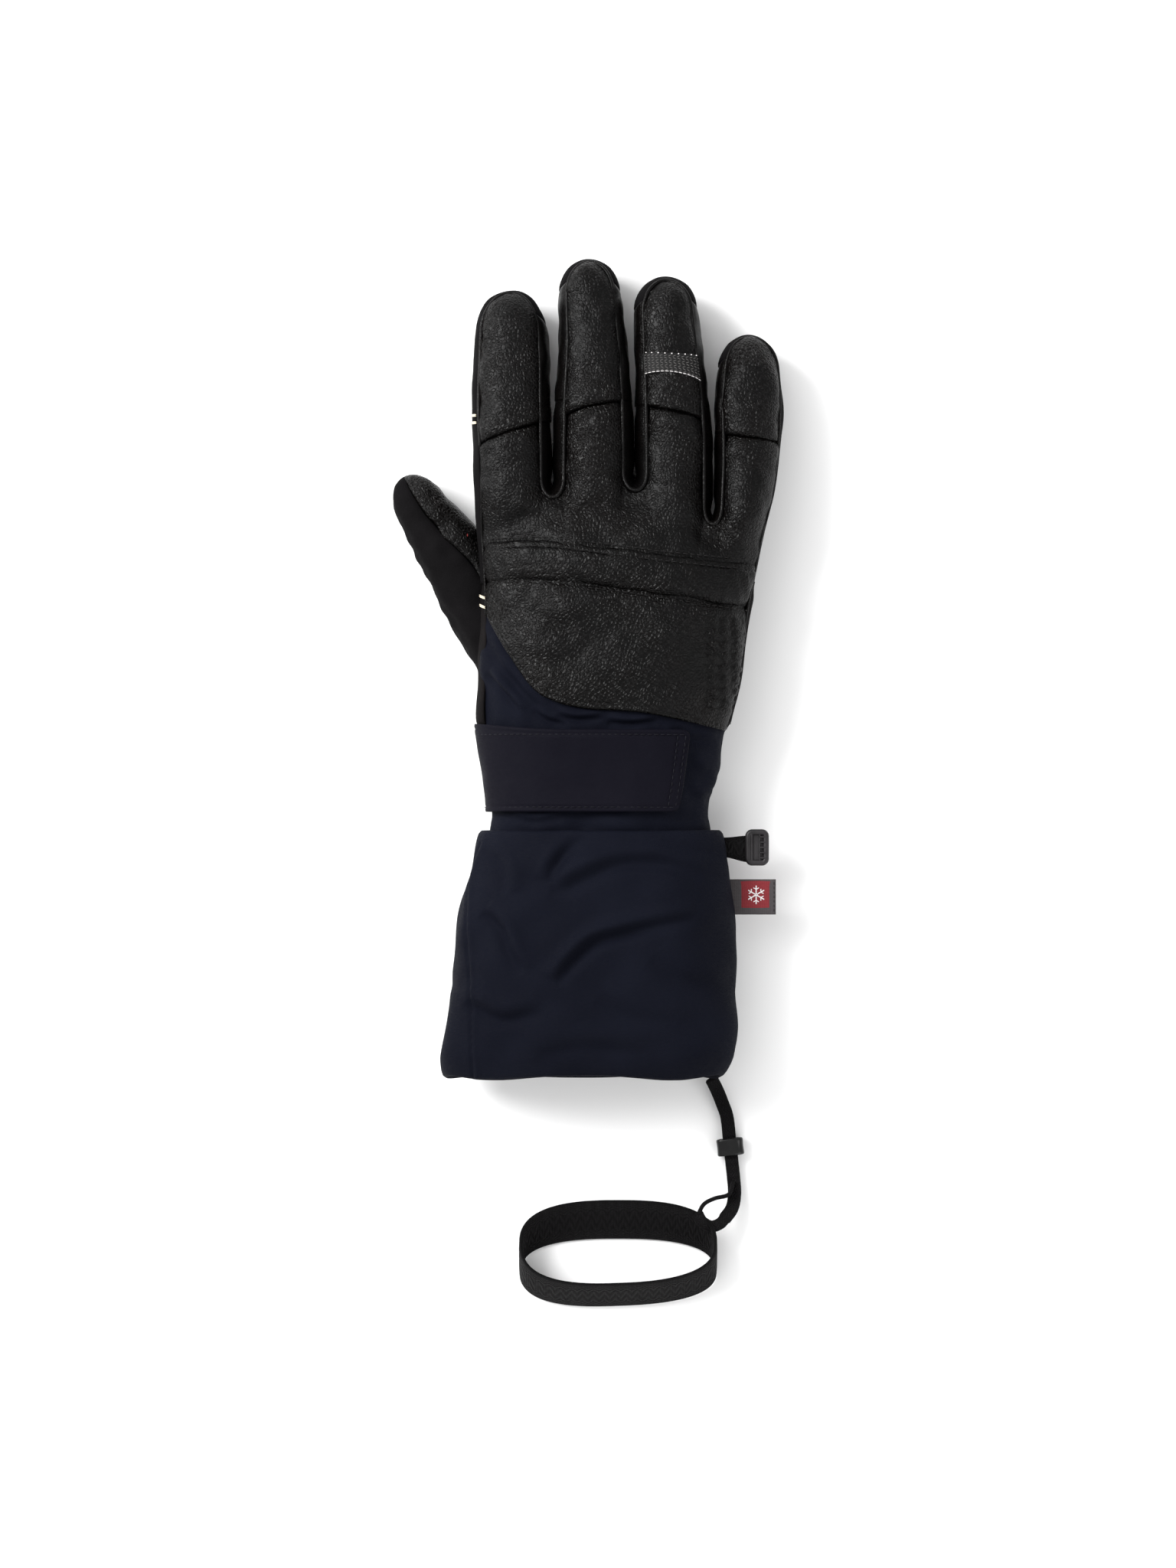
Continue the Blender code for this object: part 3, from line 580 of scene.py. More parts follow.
slitLevel = 60.0
tipInset = 1.4  # how far inside the fingertip its seam runs


# A point on the hand's outer face, from its angle around the section at y.
def handPoint(angle, y):
    return section(angle, smoothTable(hand["sections"], y), y)


# The angle that puts the hand's outer face at x: the section's bulged cosine undone.
def handAngle(x, y):
    left, right = smoothTable(hand["sections"], y)[..., :2].T
    share = np.clip((x - (left + right) / 2) / ((right - left) / 2), -1, 1)
    return np.degrees(np.arccos(np.copysign(np.abs(share) ** (roundness / 2), share)))


# How much of a finger's section is left at y: a quarter of an ellipse up to its tip.
def tipShare(y, tip, rounded):
    past = np.clip((y - (tip - rounded)) / rounded, 0.0, 1.0)
    return np.sqrt(np.maximum(1 - past * past, 0.0))


# A point on a finger's outer face; past its knee the section shrinks to nothing at the tip.
def fingerPoint(finger, angle, y):
    share = tipShare(y, finger["tip"], finger["rounded"])
    return section(angle, smoothTable(finger["sections"], y), y, share)


thumb = {
    "sections": [  # along the thumb from its root: left edge, right edge, underside, top
        (5.0, -9.0, 15.0, 1.0, 27.0),
        (30.0, -9.5, 16.0, 0.0, 27.0),
        (46.0, -9.5, 17.0, 0.0, 26.5),
        (58.0, -9.3, 17.5, 0.0, 25.5),
        (68.0, -9.2, 15.0, 0.6, 24.5),
        (76.0, -9.0, 12.4, 1.0, 23.7),
        (86.0, -8.8, 11.0, 2.0, 22.5),
    ],
    "root": (-30.6, -6.0),
    "splay": 28.0,
    "tip": 94.0,
    "rounded": 14.0,
    "zone": (38.0, 62.0),
}


# From the thumb's own frame to the glove's: turned by its splay about z and moved to its root.
def thumbPlace(local):
    turn = np.radians(thumb["splay"])
    x, s, z = np.moveaxis(local, -1, 0)
    rootX, rootY = thumb["root"]
    return np.stack([rootX + x * np.cos(turn) - s * np.sin(turn), rootY + x * np.sin(turn) + s * np.cos(turn), z], -1)


# A point on the thumb's outer face, s along it from its root.
def thumbPoint(angle, s):
    share = tipShare(s, thumb["tip"], thumb["rounded"])
    return thumbPlace(section(angle, smoothTable(thumb["sections"], s), s, share))


# ---- meshes


# The quads of a grid whose vertex number is column * rows + row, and each corner's column and row.
def gridFaces(columns, rows, wrapColumns=False, wrapRows=False):
    i, j = np.meshgrid(
        np.arange(columns if wrapColumns else columns - 1), np.arange(rows if wrapRows else rows - 1), indexing="ij"
    )
    i, j = i.ravel(), j.ravel()
    nextI, nextJ = (i + 1) % columns, (j + 1) % rows
    quads = np.stack([i * rows + j, nextI * rows + j, nextI * rows + nextJ, i * rows + nextJ], 1)
    corners = np.stack([np.stack([i + a, j + b], 1) for a, b in ((0, 0), (1, 0), (1, 1), (0, 1))], 1)
    return quads, corners


# Points that meet become one, and a quad with two corners that met becomes a triangle.
def weld(points, quads):
    keys = np.round(points / 2e-3).astype(np.int64)
    _, first, index = np.unique(keys, axis=0, return_index=True, return_inverse=True)
    quads = index.reshape(-1)[quads]
    meets = quads == np.roll(quads, -1, axis=1)
    count = meets.sum(1)
    whole = quads[(count == 0) & (quads[:, 0] != quads[:, 2]) & (quads[:, 1] != quads[:, 3])]
    thirds = quads[count == 1][~meets[count == 1]].reshape(-1, 3)
    used, index = np.unique(np.concatenate([whole.ravel(), thirds.ravel()]), return_inverse=True)
    index = index.reshape(-1)
    return points[first][used], index[: whole.size].reshape(-1, 4), index[whole.size :].reshape(-1, 3), first[used]


# A mesh object from one or more grids. A grid has its points, and may have wrapColumns and wrapRows, the points
# inside it that its faces turn away from, how far each point rises along its normal, and the size of a cell.
def meshObject(name, grids, finish, wall=0.0, mapped=False):
    points, quads, maps, rises, offset = [], [], [], [], 0
    for grid in grids:
        shape = grid["points"].shape
        wraps = grid.get("wrapColumns", False), grid.get("wrapRows", False)
        faces, corners = gridFaces(shape[0], shape[1], *wraps)
        if "inside" in grid:
            slopeI, slopeJ = (np.gradient(grid["points"], axis=axis) for axis in (0, 1))
            if np.sum(np.cross(slopeI, slopeJ) * (grid["points"] - grid["inside"])) < 0:
                faces, corners = faces[:, ::-1], corners[:, ::-1]
        points.append(grid["points"].reshape(-1, 3))
        rises.append(np.broadcast_to(grid.get("rise", 0.0), shape[:2]).ravel())
        quads.append(faces + offset)
        maps.append(corners * np.array(grid.get("cell", (1.0, 1.0))))
        offset += shape[0] * shape[1]
    points, quads, maps = np.concatenate(points), np.concatenate(quads), np.concatenate(maps)
    rises = np.concatenate(rises)
    thirds = np.zeros((0, 3), int)
    if not mapped:
        points, quads, thirds, kept = weld(points, quads)
        rises = rises[kept]
    mesh = bpy.data.meshes.new(name)
    mesh.vertices.add(len(points))
    mesh.vertices.foreach_set("co", (points * mm).ravel())
    corners = np.concatenate([quads.ravel(), thirds.ravel()])
    mesh.loops.add(len(corners))
    mesh.loops.foreach_set("vertex_index", corners.astype(np.int32))
    mesh.polygons.add(len(quads) + len(thirds))
    starts = np.concatenate([np.arange(len(quads)) * 4, quads.size + np.arange(len(thirds)) * 3])
    mesh.polygons.foreach_set("loop_start", starts.astype(np.int32))
    mesh.update(calc_edges=True)
    if np.any(rises):
        normals = np.zeros(len(points) * 3, np.float32)
        mesh.vertex_normals.foreach_get("vector", normals)
        points = points + normals.reshape(-1, 3) * rises[:, None]
        points[:, 2] = np.maximum(points[:, 2], floorGap)
        mesh.vertices.foreach_set("co", (points * mm).ravel())
        mesh.update()
    if mapped:
        layer = mesh.uv_layers.new(name="weave")
        layer.data.foreach_set("uv", (maps * mm).ravel())
    mesh.materials.append(finishes[finish])
    mesh.shade_smooth()
    obj = bpy.data.objects.new(name, mesh)
    bpy.context.scene.collection.objects.link(obj)
    if wall:
        thicken = obj.modifiers.new("wall", "SOLIDIFY")
        thicken.thickness = wall * mm
        thicken.offset = -1.0
    return obj


zones = {  # the two bodies that a piece bends between, and where the bend starts and ends, in metres
    "wristBend": ("gauntlet", "hand", (0, -0.076, 0), (0, -0.054, 0)),
    "knuckleBend": ("hand", "knuckles", (0, 0.038, 0), (0, 0.062, 0)),
    "strapBend": ("hand", "strap", (-0.0265, 0, 0), (-0.0150, 0, 0)),
}
for fingerName, finger in fingers.items():
    first, last = finger["zone"]
    zones[fingerName + "Bend"] = ("knuckles", fingerName, (0, first * mm, 0), (0, last * mm, 0))
ends = [thumbPlace(np.array((0.0, s, 0.0))) * mm for s in thumb["zone"]]
zones["thumbBend"] = ("hand", "thumb", tuple(ends[0]), tuple(ends[1]))


# Puts a piece on a body, or, for the name of a zone, bakes it in place on no body; then hides the CAD nodes it stands
# for. Its slot is not used.
def sew(obj, where, slot, *nodes):
    if where in zones:
        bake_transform(obj)
    else:
        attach(obj, where)
    if nodes:
        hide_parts(*nodes)
    return obj


# A smooth random field between about -2 and 2: many sine waves of this length in random directions.
def ripple(points, size, seed, waves=24):
    draw = np.random.default_rng(seed)
    directions = draw.normal(size=(waves, 3))
    directions *= (draw.uniform(0.6, 1.5, waves) / np.linalg.norm(directions, axis=1))[:, None] * 2 * np.pi / size
    phases = draw.uniform(0, 2 * np.pi, waves)
    return np.sin(points @ directions.T + phases).sum(-1) * np.sqrt(2 / waves)


# Distance from a path drawn over x and y, negative on its right-hand side, and the share of the way along it.
def fromPath(path, x, y):
    path = np.asarray(path, float)
    nearest = np.full(x.shape, 1e9)
    signed = np.zeros(x.shape)
    along = np.zeros(x.shape)
    for k, (a, b) in enumerate(zip(path, path[1:])):
        dx, dy = b - a
        t = np.clip(((x - a[0]) * dx + (y - a[1]) * dy) / (dx * dx + dy * dy), 0, 1)
        ex, ey = x - a[0] - t * dx, y - a[1] - t * dy
        distance = np.hypot(ex, ey)
        closer = distance < nearest
        nearest = np.where(closer, distance, nearest)
        signed = np.where(closer, distance * np.where(dx * ey - dy * ex < 0, -1, 1), signed)
        along = np.where(closer, (k + t) / (len(path) - 1), along)
    return signed, along


# A smooth path through these points, as many evenly numbered points as asked for.
def curvePath(points, count=24):
    table = [(k, *point) for k, point in enumerate(points)]
    return smoothTable(table, np.linspace(0, len(points) - 1, count))


# A fold in cloth along a path: a groove with a ridge on its left, both fading out at the path's ends.
def fold(points, path, width, depth, ridge=0.8):
    signed, along = fromPath(curvePath(path), points[..., 0], points[..., 1])
    groove = -np.exp(-((signed / width) ** 2))
    crest = ridge * np.exp(-(((signed - 1.7 * width) / (1.2 * width)) ** 2))
    return depth * (groove + crest) * np.sqrt(np.sin(np.pi * np.clip(along, 0, 1)))


# Distance over the grid from each point to the nearest of the named borders.
def edgeDistance(points, sides):
    def lengths(axis):
        steps = np.linalg.norm(np.diff(points, axis=axis), axis=-1)
        zero = np.zeros_like(np.take(steps, [0], axis))
        return np.concatenate([zero, np.cumsum(steps, axis)], axis)

    across, along = lengths(0), lengths(1)
    found = {"first": across, "last": across[-1:] - across, "start": along, "end": along[:, -1:] - along}
    return np.min([found[side] for side in sides], axis=0)


# How far a padded panel stands at this distance from its seams: pinched at the seam, then slowly crowned.
def puff(distance, pinch=0.8, reach=1.3, crown=0.5, crownReach=6.0):
    return crown * (1 - np.exp(-distance / crownReach)) - pinch * np.exp(-distance / reach)


# The same path with points evenly far apart, by step or by count.
def resample(path, step=None, count=None, closed=False):
    path = np.concatenate([path, path[:1]]) if closed else path
    length = np.concatenate([[0.0], np.cumsum(np.linalg.norm(np.diff(path, axis=0), axis=1))])
    count = count or max(int(round(length[-1] / step)) + 1, 3)
    at = np.linspace(0, length[-1], count + 1)[:-1] if closed else np.linspace(0, length[-1], count)
    return np.stack([np.interp(at, length, path[:, k]) for k in range(3)], 1)


# Tangent, side and up at each point of a path; up leans towards the given direction.
def frames(path, up, closed=False):
    if closed:
        tangent = np.roll(path, -1, 0) - np.roll(path, 1, 0)
    else:
        tangent = np.gradient(path, axis=0)
    tangent /= np.maximum(np.linalg.norm(tangent, axis=1, keepdims=True), 1e-9)
    up = np.broadcast_to(np.asarray(up, float), path.shape)
    side = np.cross(tangent, up)
    side /= np.maximum(np.linalg.norm(side, axis=1, keepdims=True), 1e-9)
    return tangent, side, np.cross(side, tangent)


# A round or flat tube: each ring is the path's point plus width * cos * side + height * sin * up. Its ends are
# rounded off to a pole when it isn't closed.
def tubeGrid(path, width, height, sides=10, up=(0, 0, 1), closed=False, power=2.0):
    tangent, side, top = frames(path, up, closed)
    turn = np.linspace(0, 2 * np.pi, sides, endpoint=False)
    c, s = bulge(np.cos(turn), power), bulge(np.sin(turn), power)
    size = np.ones(len(path))
    if not closed:
        cap = np.array([0.0, 0.5, 0.87])
        push = np.array([1.0, 0.87, 0.5]) * min(width, height)
        before, after = path[:1] - tangent[:1] * push[:, None], path[-1:] + tangent[-1:] * push[::-1, None]
        path = np.concatenate([before, path, after])
        size = np.concatenate([cap, size, cap[::-1]])
        side = np.concatenate([side[:1].repeat(3, 0), side, side[-1:].repeat(3, 0)])
        top = np.concatenate([top[:1].repeat(3, 0), top, top[-1:].repeat(3, 0)])
    ring = size[:, None, None] * (width * c[None, :, None] * side[:, None] + height * s[None, :, None] * top[:, None])
    return {"points": path[:, None] + ring, "wrapRows": True, "wrapColumns": closed}


def tubeObject(name, path, width, height, finish, **how):
    return meshObject(name, [tubeGrid(path, width, height, **how)], finish)


# Many equal stitches in one mesh: one small rounded rod is copied along the path, each copy turned to follow it.
def stitchGrid(path, normals, pitch, length, radius, lift=0.0, sink=0.35, slant=0.0):
    total = np.linalg.norm(np.diff(path, axis=0), axis=1).sum()
    count = max(int(total / pitch), 1)
    steps = np.concatenate([[0.0], np.cumsum(np.linalg.norm(np.diff(path, axis=0), axis=1))])
    at = (np.arange(count) + 0.5) * total / count

    def along(values, where):
        return np.stack([np.interp(where, steps, values[:, k]) for k in range(3)], 1)

    middle, up = along(path, at), along(normals, at)
    tangent = along(path, at + length / 2) - along(path, at - length / 2)
    tangent /= np.maximum(np.linalg.norm(tangent, axis=1, keepdims=True), 1e-9)
    up /= np.maximum(np.linalg.norm(up, axis=1, keepdims=True), 1e-9)
    side = np.cross(tangent, up)
    tangent = tangent + slant * side
    ring = np.linspace(0, 2 * np.pi, 6, endpoint=False)
    share = np.array([-1.0, -0.9, -0.45, 0.0, 0.45, 0.9, 1.0])
    size = np.array([0.0, 0.6, 1.0, 1.0, 1.0, 0.6, 0.0])
    rod = middle[:, None, None] + tangent[:, None, None] * (share * length / 2)[None, :, None, None]
    arch = (lift + radius * (1 - sink) - share**2 * radius * 0.9)[None, :, None, None]
    rod = rod + up[:, None, None] * arch
    c, s = (wave(ring)[None, None, :, None] for wave in (np.cos, np.sin))
    rod = rod + (side[:, None, None] * c + up[:, None, None] * s) * (size * radius)[None, :, None, None]
    return [{"points": rod[k], "wrapRows": True} for k in range(count)]


def stitchObject(name, rows, finish, pitch=3.0, length=2.2, radius=0.28, **how):
    grids = []
    for path, normals in rows:
        grids += stitchGrid(path, normals, pitch, length, radius, **how)
    return meshObject(name, grids, finish)


# Points on a surface at these angles and places, raised along its outward normal, and the normals.
def skin(surface, angle, y, rise=0.0):
    step = 0.4
    across = surface(angle + step, y) - surface(angle - step, y)
    along = surface(angle, y + step) - surface(angle, y - step)
    normal = np.cross(along, across)
    normal /= np.maximum(np.linalg.norm(normal, axis=-1, keepdims=True), 1e-9)
    return surface(angle, y) + normal * np.asarray(rise)[..., None], normal


# A path over x and y laid on the back of the hand and raised, with its normals.
def overHand(path, rise=0.0):
    path = np.asarray(path, float)
    return skin(handPoint, handAngle(path[:, 0], path[:, 1]), path[:, 1], rise)


def sheetGrid(points, inside, rise=0.0, **more):
    return {"points": points, "inside": inside, "rise": rise, **more}


# Evenly spaced places from start to end, about a step apart.
def tubeRows(start, end, step):
    return np.linspace(start, end, max(int(abs(end - start) / step) + 1, 2))


# Places along a finger: even steps up to its knee, then the sine of even angles over its rounded tip.
def tipRows(start, knee, step, reach, count=22):
    tip = knee + reach * np.sin(np.radians(np.linspace(0, 90, count)[1:]))
    return np.concatenate([tubeRows(start, knee, step), tip])


# A sheet around or over the hand whose faces turn away from the hand's middle.
def handPanel(name, points, rise, finish, wall, **more):
    inside = middleOf(hand["sections"], points[..., 1])
    return meshObject(name, [sheetGrid(points, inside, rise, **more)], finish, wall=wall)


# ---- the gauntlet: one shell turned in at its hem and at its top, and the lining inside it

gauntlet = {
    "columns": 280,
    "profile": [  # y, and the depth below the outer face, from inside the top fold to inside the hem
        (-74.0, 2.6),
        (-66.4, 1.7),
        (-65.2, 1.3),
        (-64.8, 0.2),
        (-65.3, -0.8),
        (-66.6, -1.2),
        (-72.0, -1.0),
        (-84.0, -0.3),
        (-98.0, 0.0),
        (-150.0, 0.0),
        (-161.8, 0.1),
        (-163.9, 0.6),
        (-164.5, 1.8),
        (-163.8, 3.0),
        (-160.0, 3.6),
        (-149.0, 3.6),
    ],
    "folds": [  # its path over x and y, width and depth
        (((-12, -126), (-9, -122), (-4.7, -116.7), (3.2, -109.8), (13, -106.9), (25, -103.9), (44, -100)), 2.6, 3.0),
        (((-14.5, -88), (-8, -88), (-1, -84.3), (13, -78.6), (30, -78.4), (46, -84)), 3.2, 2.2),
        (((-14.5, -86), (-12, -79), (-6, -71), (3, -65)), 2.6, 2.2),
        (((-42, -98), (-38, -101), (-34, -106), (-31, -114), (-26, -122)), 2.4, 2.0),
        (((-48, -133), (-44, -136.5), (-34, -141), (-18, -138)), 3.0, 1.8),
        (((26, -116), (36, -124), (50, -128), (60, -126)), 4.0, 1.2),
        (((4, -132), (18, -140), (36, -142)), 4.0, 1.0),
        (((-40, -72), (-34, -80), (-33, -90)), 2.6, 1.2),
        (((30, -68), (38, -72), (54, -74)), 2.6, 1.2),
        (((-20, -156), (0, -152), (24, -155)), 3.6, 1.0),
        (((-44, -120), (-50, -126), (-55, -129)), 3.4, 0.7),
    ],
    "sideSeam": ((-42.5, -70), (-46.0, -82), (-47.8, -96), (-47.4, -123), (-45.6, -164)),
}


def addGauntlet():
    look = gauntlet
    angle = evenAngles(-90, 270, look["columns"] + 1, hand["halfX"], hand["halfZ"])[:-1]
    profile = resample(np.array([(y, d, 0.0) for y, d in look["profile"]]), 0.85)
    y, depth = profile[:, 0], profile[:, 1]
    wave = 0.5 * np.sin(np.radians(angle) * 5.0)[:, None] * ease((-y - 140) / 24)[None]
    points, _ = skin(handPoint, angle[:, None], y[None] + wave, -depth[None] * np.ones((len(angle), 1)))
    calm = 0.25 + 0.75 * ease((-y - 66) / 12) * ease((y + 163) / 10)
    upper = points[..., 2] > 12
    rise = (0.55 * ripple(points, 46, 3) + 0.28 * ripple(points, 19, 4)) * calm[None]
    for path, width, depthOf in look["folds"]:
        rise = rise + np.where(upper, fold(points, path, width, depthOf), 0.0) * calm[None]
    seam, _ = fromPath(curvePath(look["sideSeam"]), points[..., 0], points[..., 1])
    rise = rise + np.where(upper, 0.5 * np.exp(-((seam - 1.2) ** 2) / 1.2) - 0.8 * np.exp(-(seam**2) / 0.35), 0.0)
    rise = rise * np.where(depth > 1.5, 0.15, 1.0)[None]
    shell = handPanel("gauntletShell", points, rise, "shell", 0.5, wrapColumns=True)
    sew(shell, "wristBend", "navy_shell", "gauntlet_shell", "gauntlet_hem")

    angle = evenAngles(-90, 270, 161, hand["halfX"], hand["halfZ"])[:-1]
    y = tubeRows(-158.0, 36.0, 1.6)
    depth = 2.2 + 1.7 * ease((y + 158) / 12) + 1.6 * ease((y + 74) / 14)
    points, _ = skin(handPoint, angle[:, None], y[None] + 0 * angle[:, None], -depth[None] * np.ones((len(angle), 1)))
    middle = middleOf(hand["sections"], points[:, -1:, 1])
    cap = [middle + (points[:, -1:] - middle) * share for share in (0.8, 0.55, 0.3, 0.0)]
    points = np.concatenate([points, *cap], axis=1)
    inside = middleOf(hand["sections"], points[..., 1] - 12)
    rise = 0.25 * ripple(points, 14, 8)
    lining = meshObject("gloveLining", [sheetGrid(points, inside, rise, wrapColumns=True)], "lining", wall=0.7)
    sew(lining, "wristBend", "lining", "gauntlet_lining", "hand_lining")


addGauntlet()
print("gauntlet ready")

# ---- the cuff's fabric under the strap, and the leather of the hand

cuff = {
    "edge": [  # where the leather ends on the back of the hand
        (-45.0, 25.0),
        (-41.0, 20.5),
        (-32.0, 6.5),
        (-24.0, -5.0),
        (-16.0, -11.6),
        (-1.0, -16.0),
        (23.0, -17.6),
        (44.5, -21.6),
        (62.0, -25.5),
    ],
    "start": -74.0,
    "folds": [
        (((-44, 16), (-35, 2), (-27, -9), (-18, -17)), 2.0, 1.3),
        (((-40, -2), (-34, -9), (-27, -18)), 1.5, 1.6),
        (((-12, -19.0), (-4, -20.6), (6, -20.0)), 1.3, 1.7),
        (((8, -21.8), (18, -22.4), (28, -21.2)), 1.3, 1.7),
        (((-22, -17), (-16, -21), (-8, -22.6)), 1.3, 1.1),
        (((34, -24), (42, -29), (52, -30)), 2.2, 1.1),
        (((40, -38), (46, -42), (52, -40)), 2.4, 0.8),
        (((40, -50), (46, -53), (51, -51)), 2.2, 0.8),
        (((-30, -60), (-20, -61.5), (-10, -60)), 1.4, 0.9),
    ],
}
band = {  # the padded band across the knuckles: its upper and lower seam
    "top": [(-44.0, 50.2), (-38.0, 50.9), (-18.0, 51.6), (6.6, 48.8), (33.7, 45.4), (65.0, 42.6), (72.0, 42.0)],
    "bottom": [(-44.0, 34.2), (-38.0, 34.8), (-20.0, 35.0), (6.6, 32.5), (33.7, 28.6), (64.5, 24.2), (72.0, 23.4)],
    "crown": 2.3,
}
emboss = {"x": (46.0, 64.0), "y": (-17.0, 21.5), "pitch": 4.6, "height": 0.7}


# The height in y of a line drawn over x.
def lineY(table, x):
    return smoothTable(table, x)[..., 0]


# Where the wrist fabric ends at each angle: at the leather on the back, and at -27 mm on the palm side.
def cuffTop(angle):
    back = lineY(cuff["edge"], handPoint(angle, -5.0)[..., 0])
    toPalm = np.maximum(ease((angle - 166) / 26), ease((-angle) / 20))
    return back + (-27.0 - back) * toPalm


# Where the palm leather starts: 8 mm lower in the middle of the palm than at its sides.
def palmEdge(angle):
    side = ease((angle - 195) / 35) * ease((358 - angle) / 30)
    return -22.5 - 8.0 * side


# Pressed lozenges: the product of two slanted cosines, eased, inside a window that fades at its sides.
def embossRise(x, y):
    (left, right), (low, high), pitch = emboss["x"], emboss["y"], emboss["pitch"]
    window = ease((x - left) / 2.0) * ease((right - x) / 2.0) * ease((y - low) / 2.0) * ease((high - y) / 2.0)
    lozenge = np.cos(np.pi * (x + y) / pitch) * np.cos(np.pi * (x - y) / pitch)
    return emboss["height"] * window * (ease((lozenge + 0.05) / 0.3) - 0.55)


def addCuffAndHand():
    angle = evenAngles(-90, 270, 261, hand["halfX"], hand["halfZ"])[:-1]
    share = np.linspace(0, 1, 96)
    y = cuff["start"] + (cuffTop(angle)[:, None] + 4.5 - cuff["start"]) * share[None]
    depth = 0.7 + 2.4 * ease((-60.5 - y) / 7)
    points, _ = skin(handPoint, angle[:, None], y, -depth)
    upper = points[..., 2] > 14
    rise = (0.4 * ripple(points, 30, 11) + 0.25 * ripple(points, 13, 12)) * ease((cuffTop(angle)[:, None] + 2 - y) / 6)
    for path, width, deep in cuff["folds"]:
        rise = rise + np.where(upper, fold(points, path, width, deep), 0.0)
    shell = handPanel("wristShell", points, rise, "shell", 0.6, wrapColumns=True)
    sew(shell, "wristBend", "navy_shell", "wrist_shell", "wrist_gusset")

    angle = evenAngles(hand["rightSeam"], 180 - hand["leftSeam"], 200, hand["halfX"], hand["halfZ"])
    x = handPoint(angle, 5.0)[..., 0]
    low, high = lineY(cuff["edge"], handPoint(angle, -5.0)[..., 0]), lineY(band["bottom"], x) + 3.0
    y = low[:, None] + (high - low)[:, None] * np.linspace(0, 1, 84)[None]
    points, _ = skin(handPoint, angle[:, None], y, 0.45 + 0 * y)
    edge = edgeDistance(points, ["start"])
    sides = edgeDistance(points, ["first", "last"])
    bandDistance = np.abs(y - lineY(band["bottom"], points[..., 0]))
    rise = 0.25 - 0.5 * np.exp(-edge / 0.5) + puff(sides, 0.7, 1.4, 0.3) + puff(bandDistance, 1.2, 1.6, 0.7)
    rise = rise - 0.3 * np.exp(-(((edge - 2.4) / 0.6) ** 2))
    rise = rise + 0.4 * ripple(points, 34, 21) + 0.12 * ripple(points, 9, 22)
    rise = rise + embossRise(points[..., 0], points[..., 1])
    for path, width, deep in (
        (((-26, 24), (-12, 18), (4, 20)), 3.0, 0.5),
        (((-30, 8), (-14, 2), (2, 6)), 3.5, 0.5),
        (((8, -4), (22, -8), (38, -4)), 3.5, 0.4),
    ):
        rise = rise + fold(points, path, width, deep)
    back = handPanel("backPanel", points, rise, "leather", 1.1)
    sew(back, "hand", "leather", "back_panel")

    angle = evenAngles(180 - hand["leftSeam"], 360 + hand["rightSeam"], 190, hand["halfX"], hand["halfZ"])
    low = palmEdge(angle)
    y = low[:, None] + (35.0 - low)[:, None] * np.linspace(0, 1, 84)[None]
    points, _ = skin(handPoint, angle[:, None], y, 0.4 + 0 * y)
    rise = puff(edgeDistance(points, ["first", "last"]), 0.7, 1.4, 0.3)
    rise = rise - 0.5 * np.exp(-edgeDistance(points, ["start"]) / 0.6)
    rise = rise + 0.3 * ripple(points, 30, 23) - 1.1 * ease((y - 27.0) / 7.0)
    palm = handPanel("palmPanel", points, rise, "palm", 1.1)
    sew(palm, "hand", "suede", "palm_panel")

    x = np.linspace(-39.5, 57.5, 200)
    path = np.stack([x, lineY(cuff["edge"], x) + np.where(np.arange(200) < 60, 3.0, 2.4)], 1)
    stitch = stitchObject("cuffStitches", [overHand(path, 0.62)], "darkThread", 2.9, 2.2, 0.24)
    sew(stitch, "hand", "leather")


addCuffAndHand()
print("cuff and hand ready")


# ---- the knuckle band and its foam


def addBand():
    angle = evenAngles(hand["rightSeam"] + 2, 180 - hand["leftSeam"] - 2, 180, hand["halfX"], hand["halfZ"])
    x = handPoint(angle, 40.0)[..., 0]
    low, high = lineY(band["bottom"], x), lineY(band["top"], x)
    share = np.linspace(0, 1, 34)
    y = low[:, None] + (high - low)[:, None] * share[None]
    arch = (1 - np.abs(2 * share - 1) ** 3.2)[None] * band["crown"]
    points, _ = skin(handPoint, angle[:, None], y, 0.15 + arch + 0 * y)
    fromTop = high[:, None] - y
    rise = -0.55 * np.exp(-(((fromTop - 2.9) / 0.7) ** 2)) - 0.5 * np.exp(-fromTop / 0.7)
    rise = rise - 0.7 * np.exp(-(y - low[:, None]) / 0.7)
    rise = rise + puff(edgeDistance(points, ["first", "last"]), 1.6, 2.0, 0.0) + 0.25 * ripple(points, 22, 31)
    rise = rise + 0.1 * ripple(points, 6, 32)
    cover = handPanel("knuckleBand", points, rise, "leather", 1.0)
    sew(cover, "knuckleBend", "leather", "knuckle_band")

    points, _ = skin(handPoint, angle[8:-8:3, None], y[8:-8:3, 3:-3:2], (arch - 1.4 + 0 * y)[8:-8:3, 3:-3:2])
    foam = handPanel("knuckleFoam", points, 0.0, "foam", 1.2)
    sew(foam, "knuckleBend", "foam", "knuckle_foam")

    rows = []
    for table, shift in ((band["top"], 0.9), (band["top"], -2.9), (band["bottom"], -1.0)):
        x = np.linspace(-39.0, 64.0, 220)
        path = np.stack([x, lineY(table, x) + shift], 1)
        lift = 1.35 if shift < -2 else 0.45
        rows.append(overHand(path, lift))
    stitch = stitchObject("bandStitches", rows, "darkThread", 2.8, 2.1, 0.24)
    sew(stitch, "knuckleBend", "leather")


addBand()
print("knuckle band ready")

# ---- finger bases: the back and the palm turning into the fingers, with a rounded slit between each two


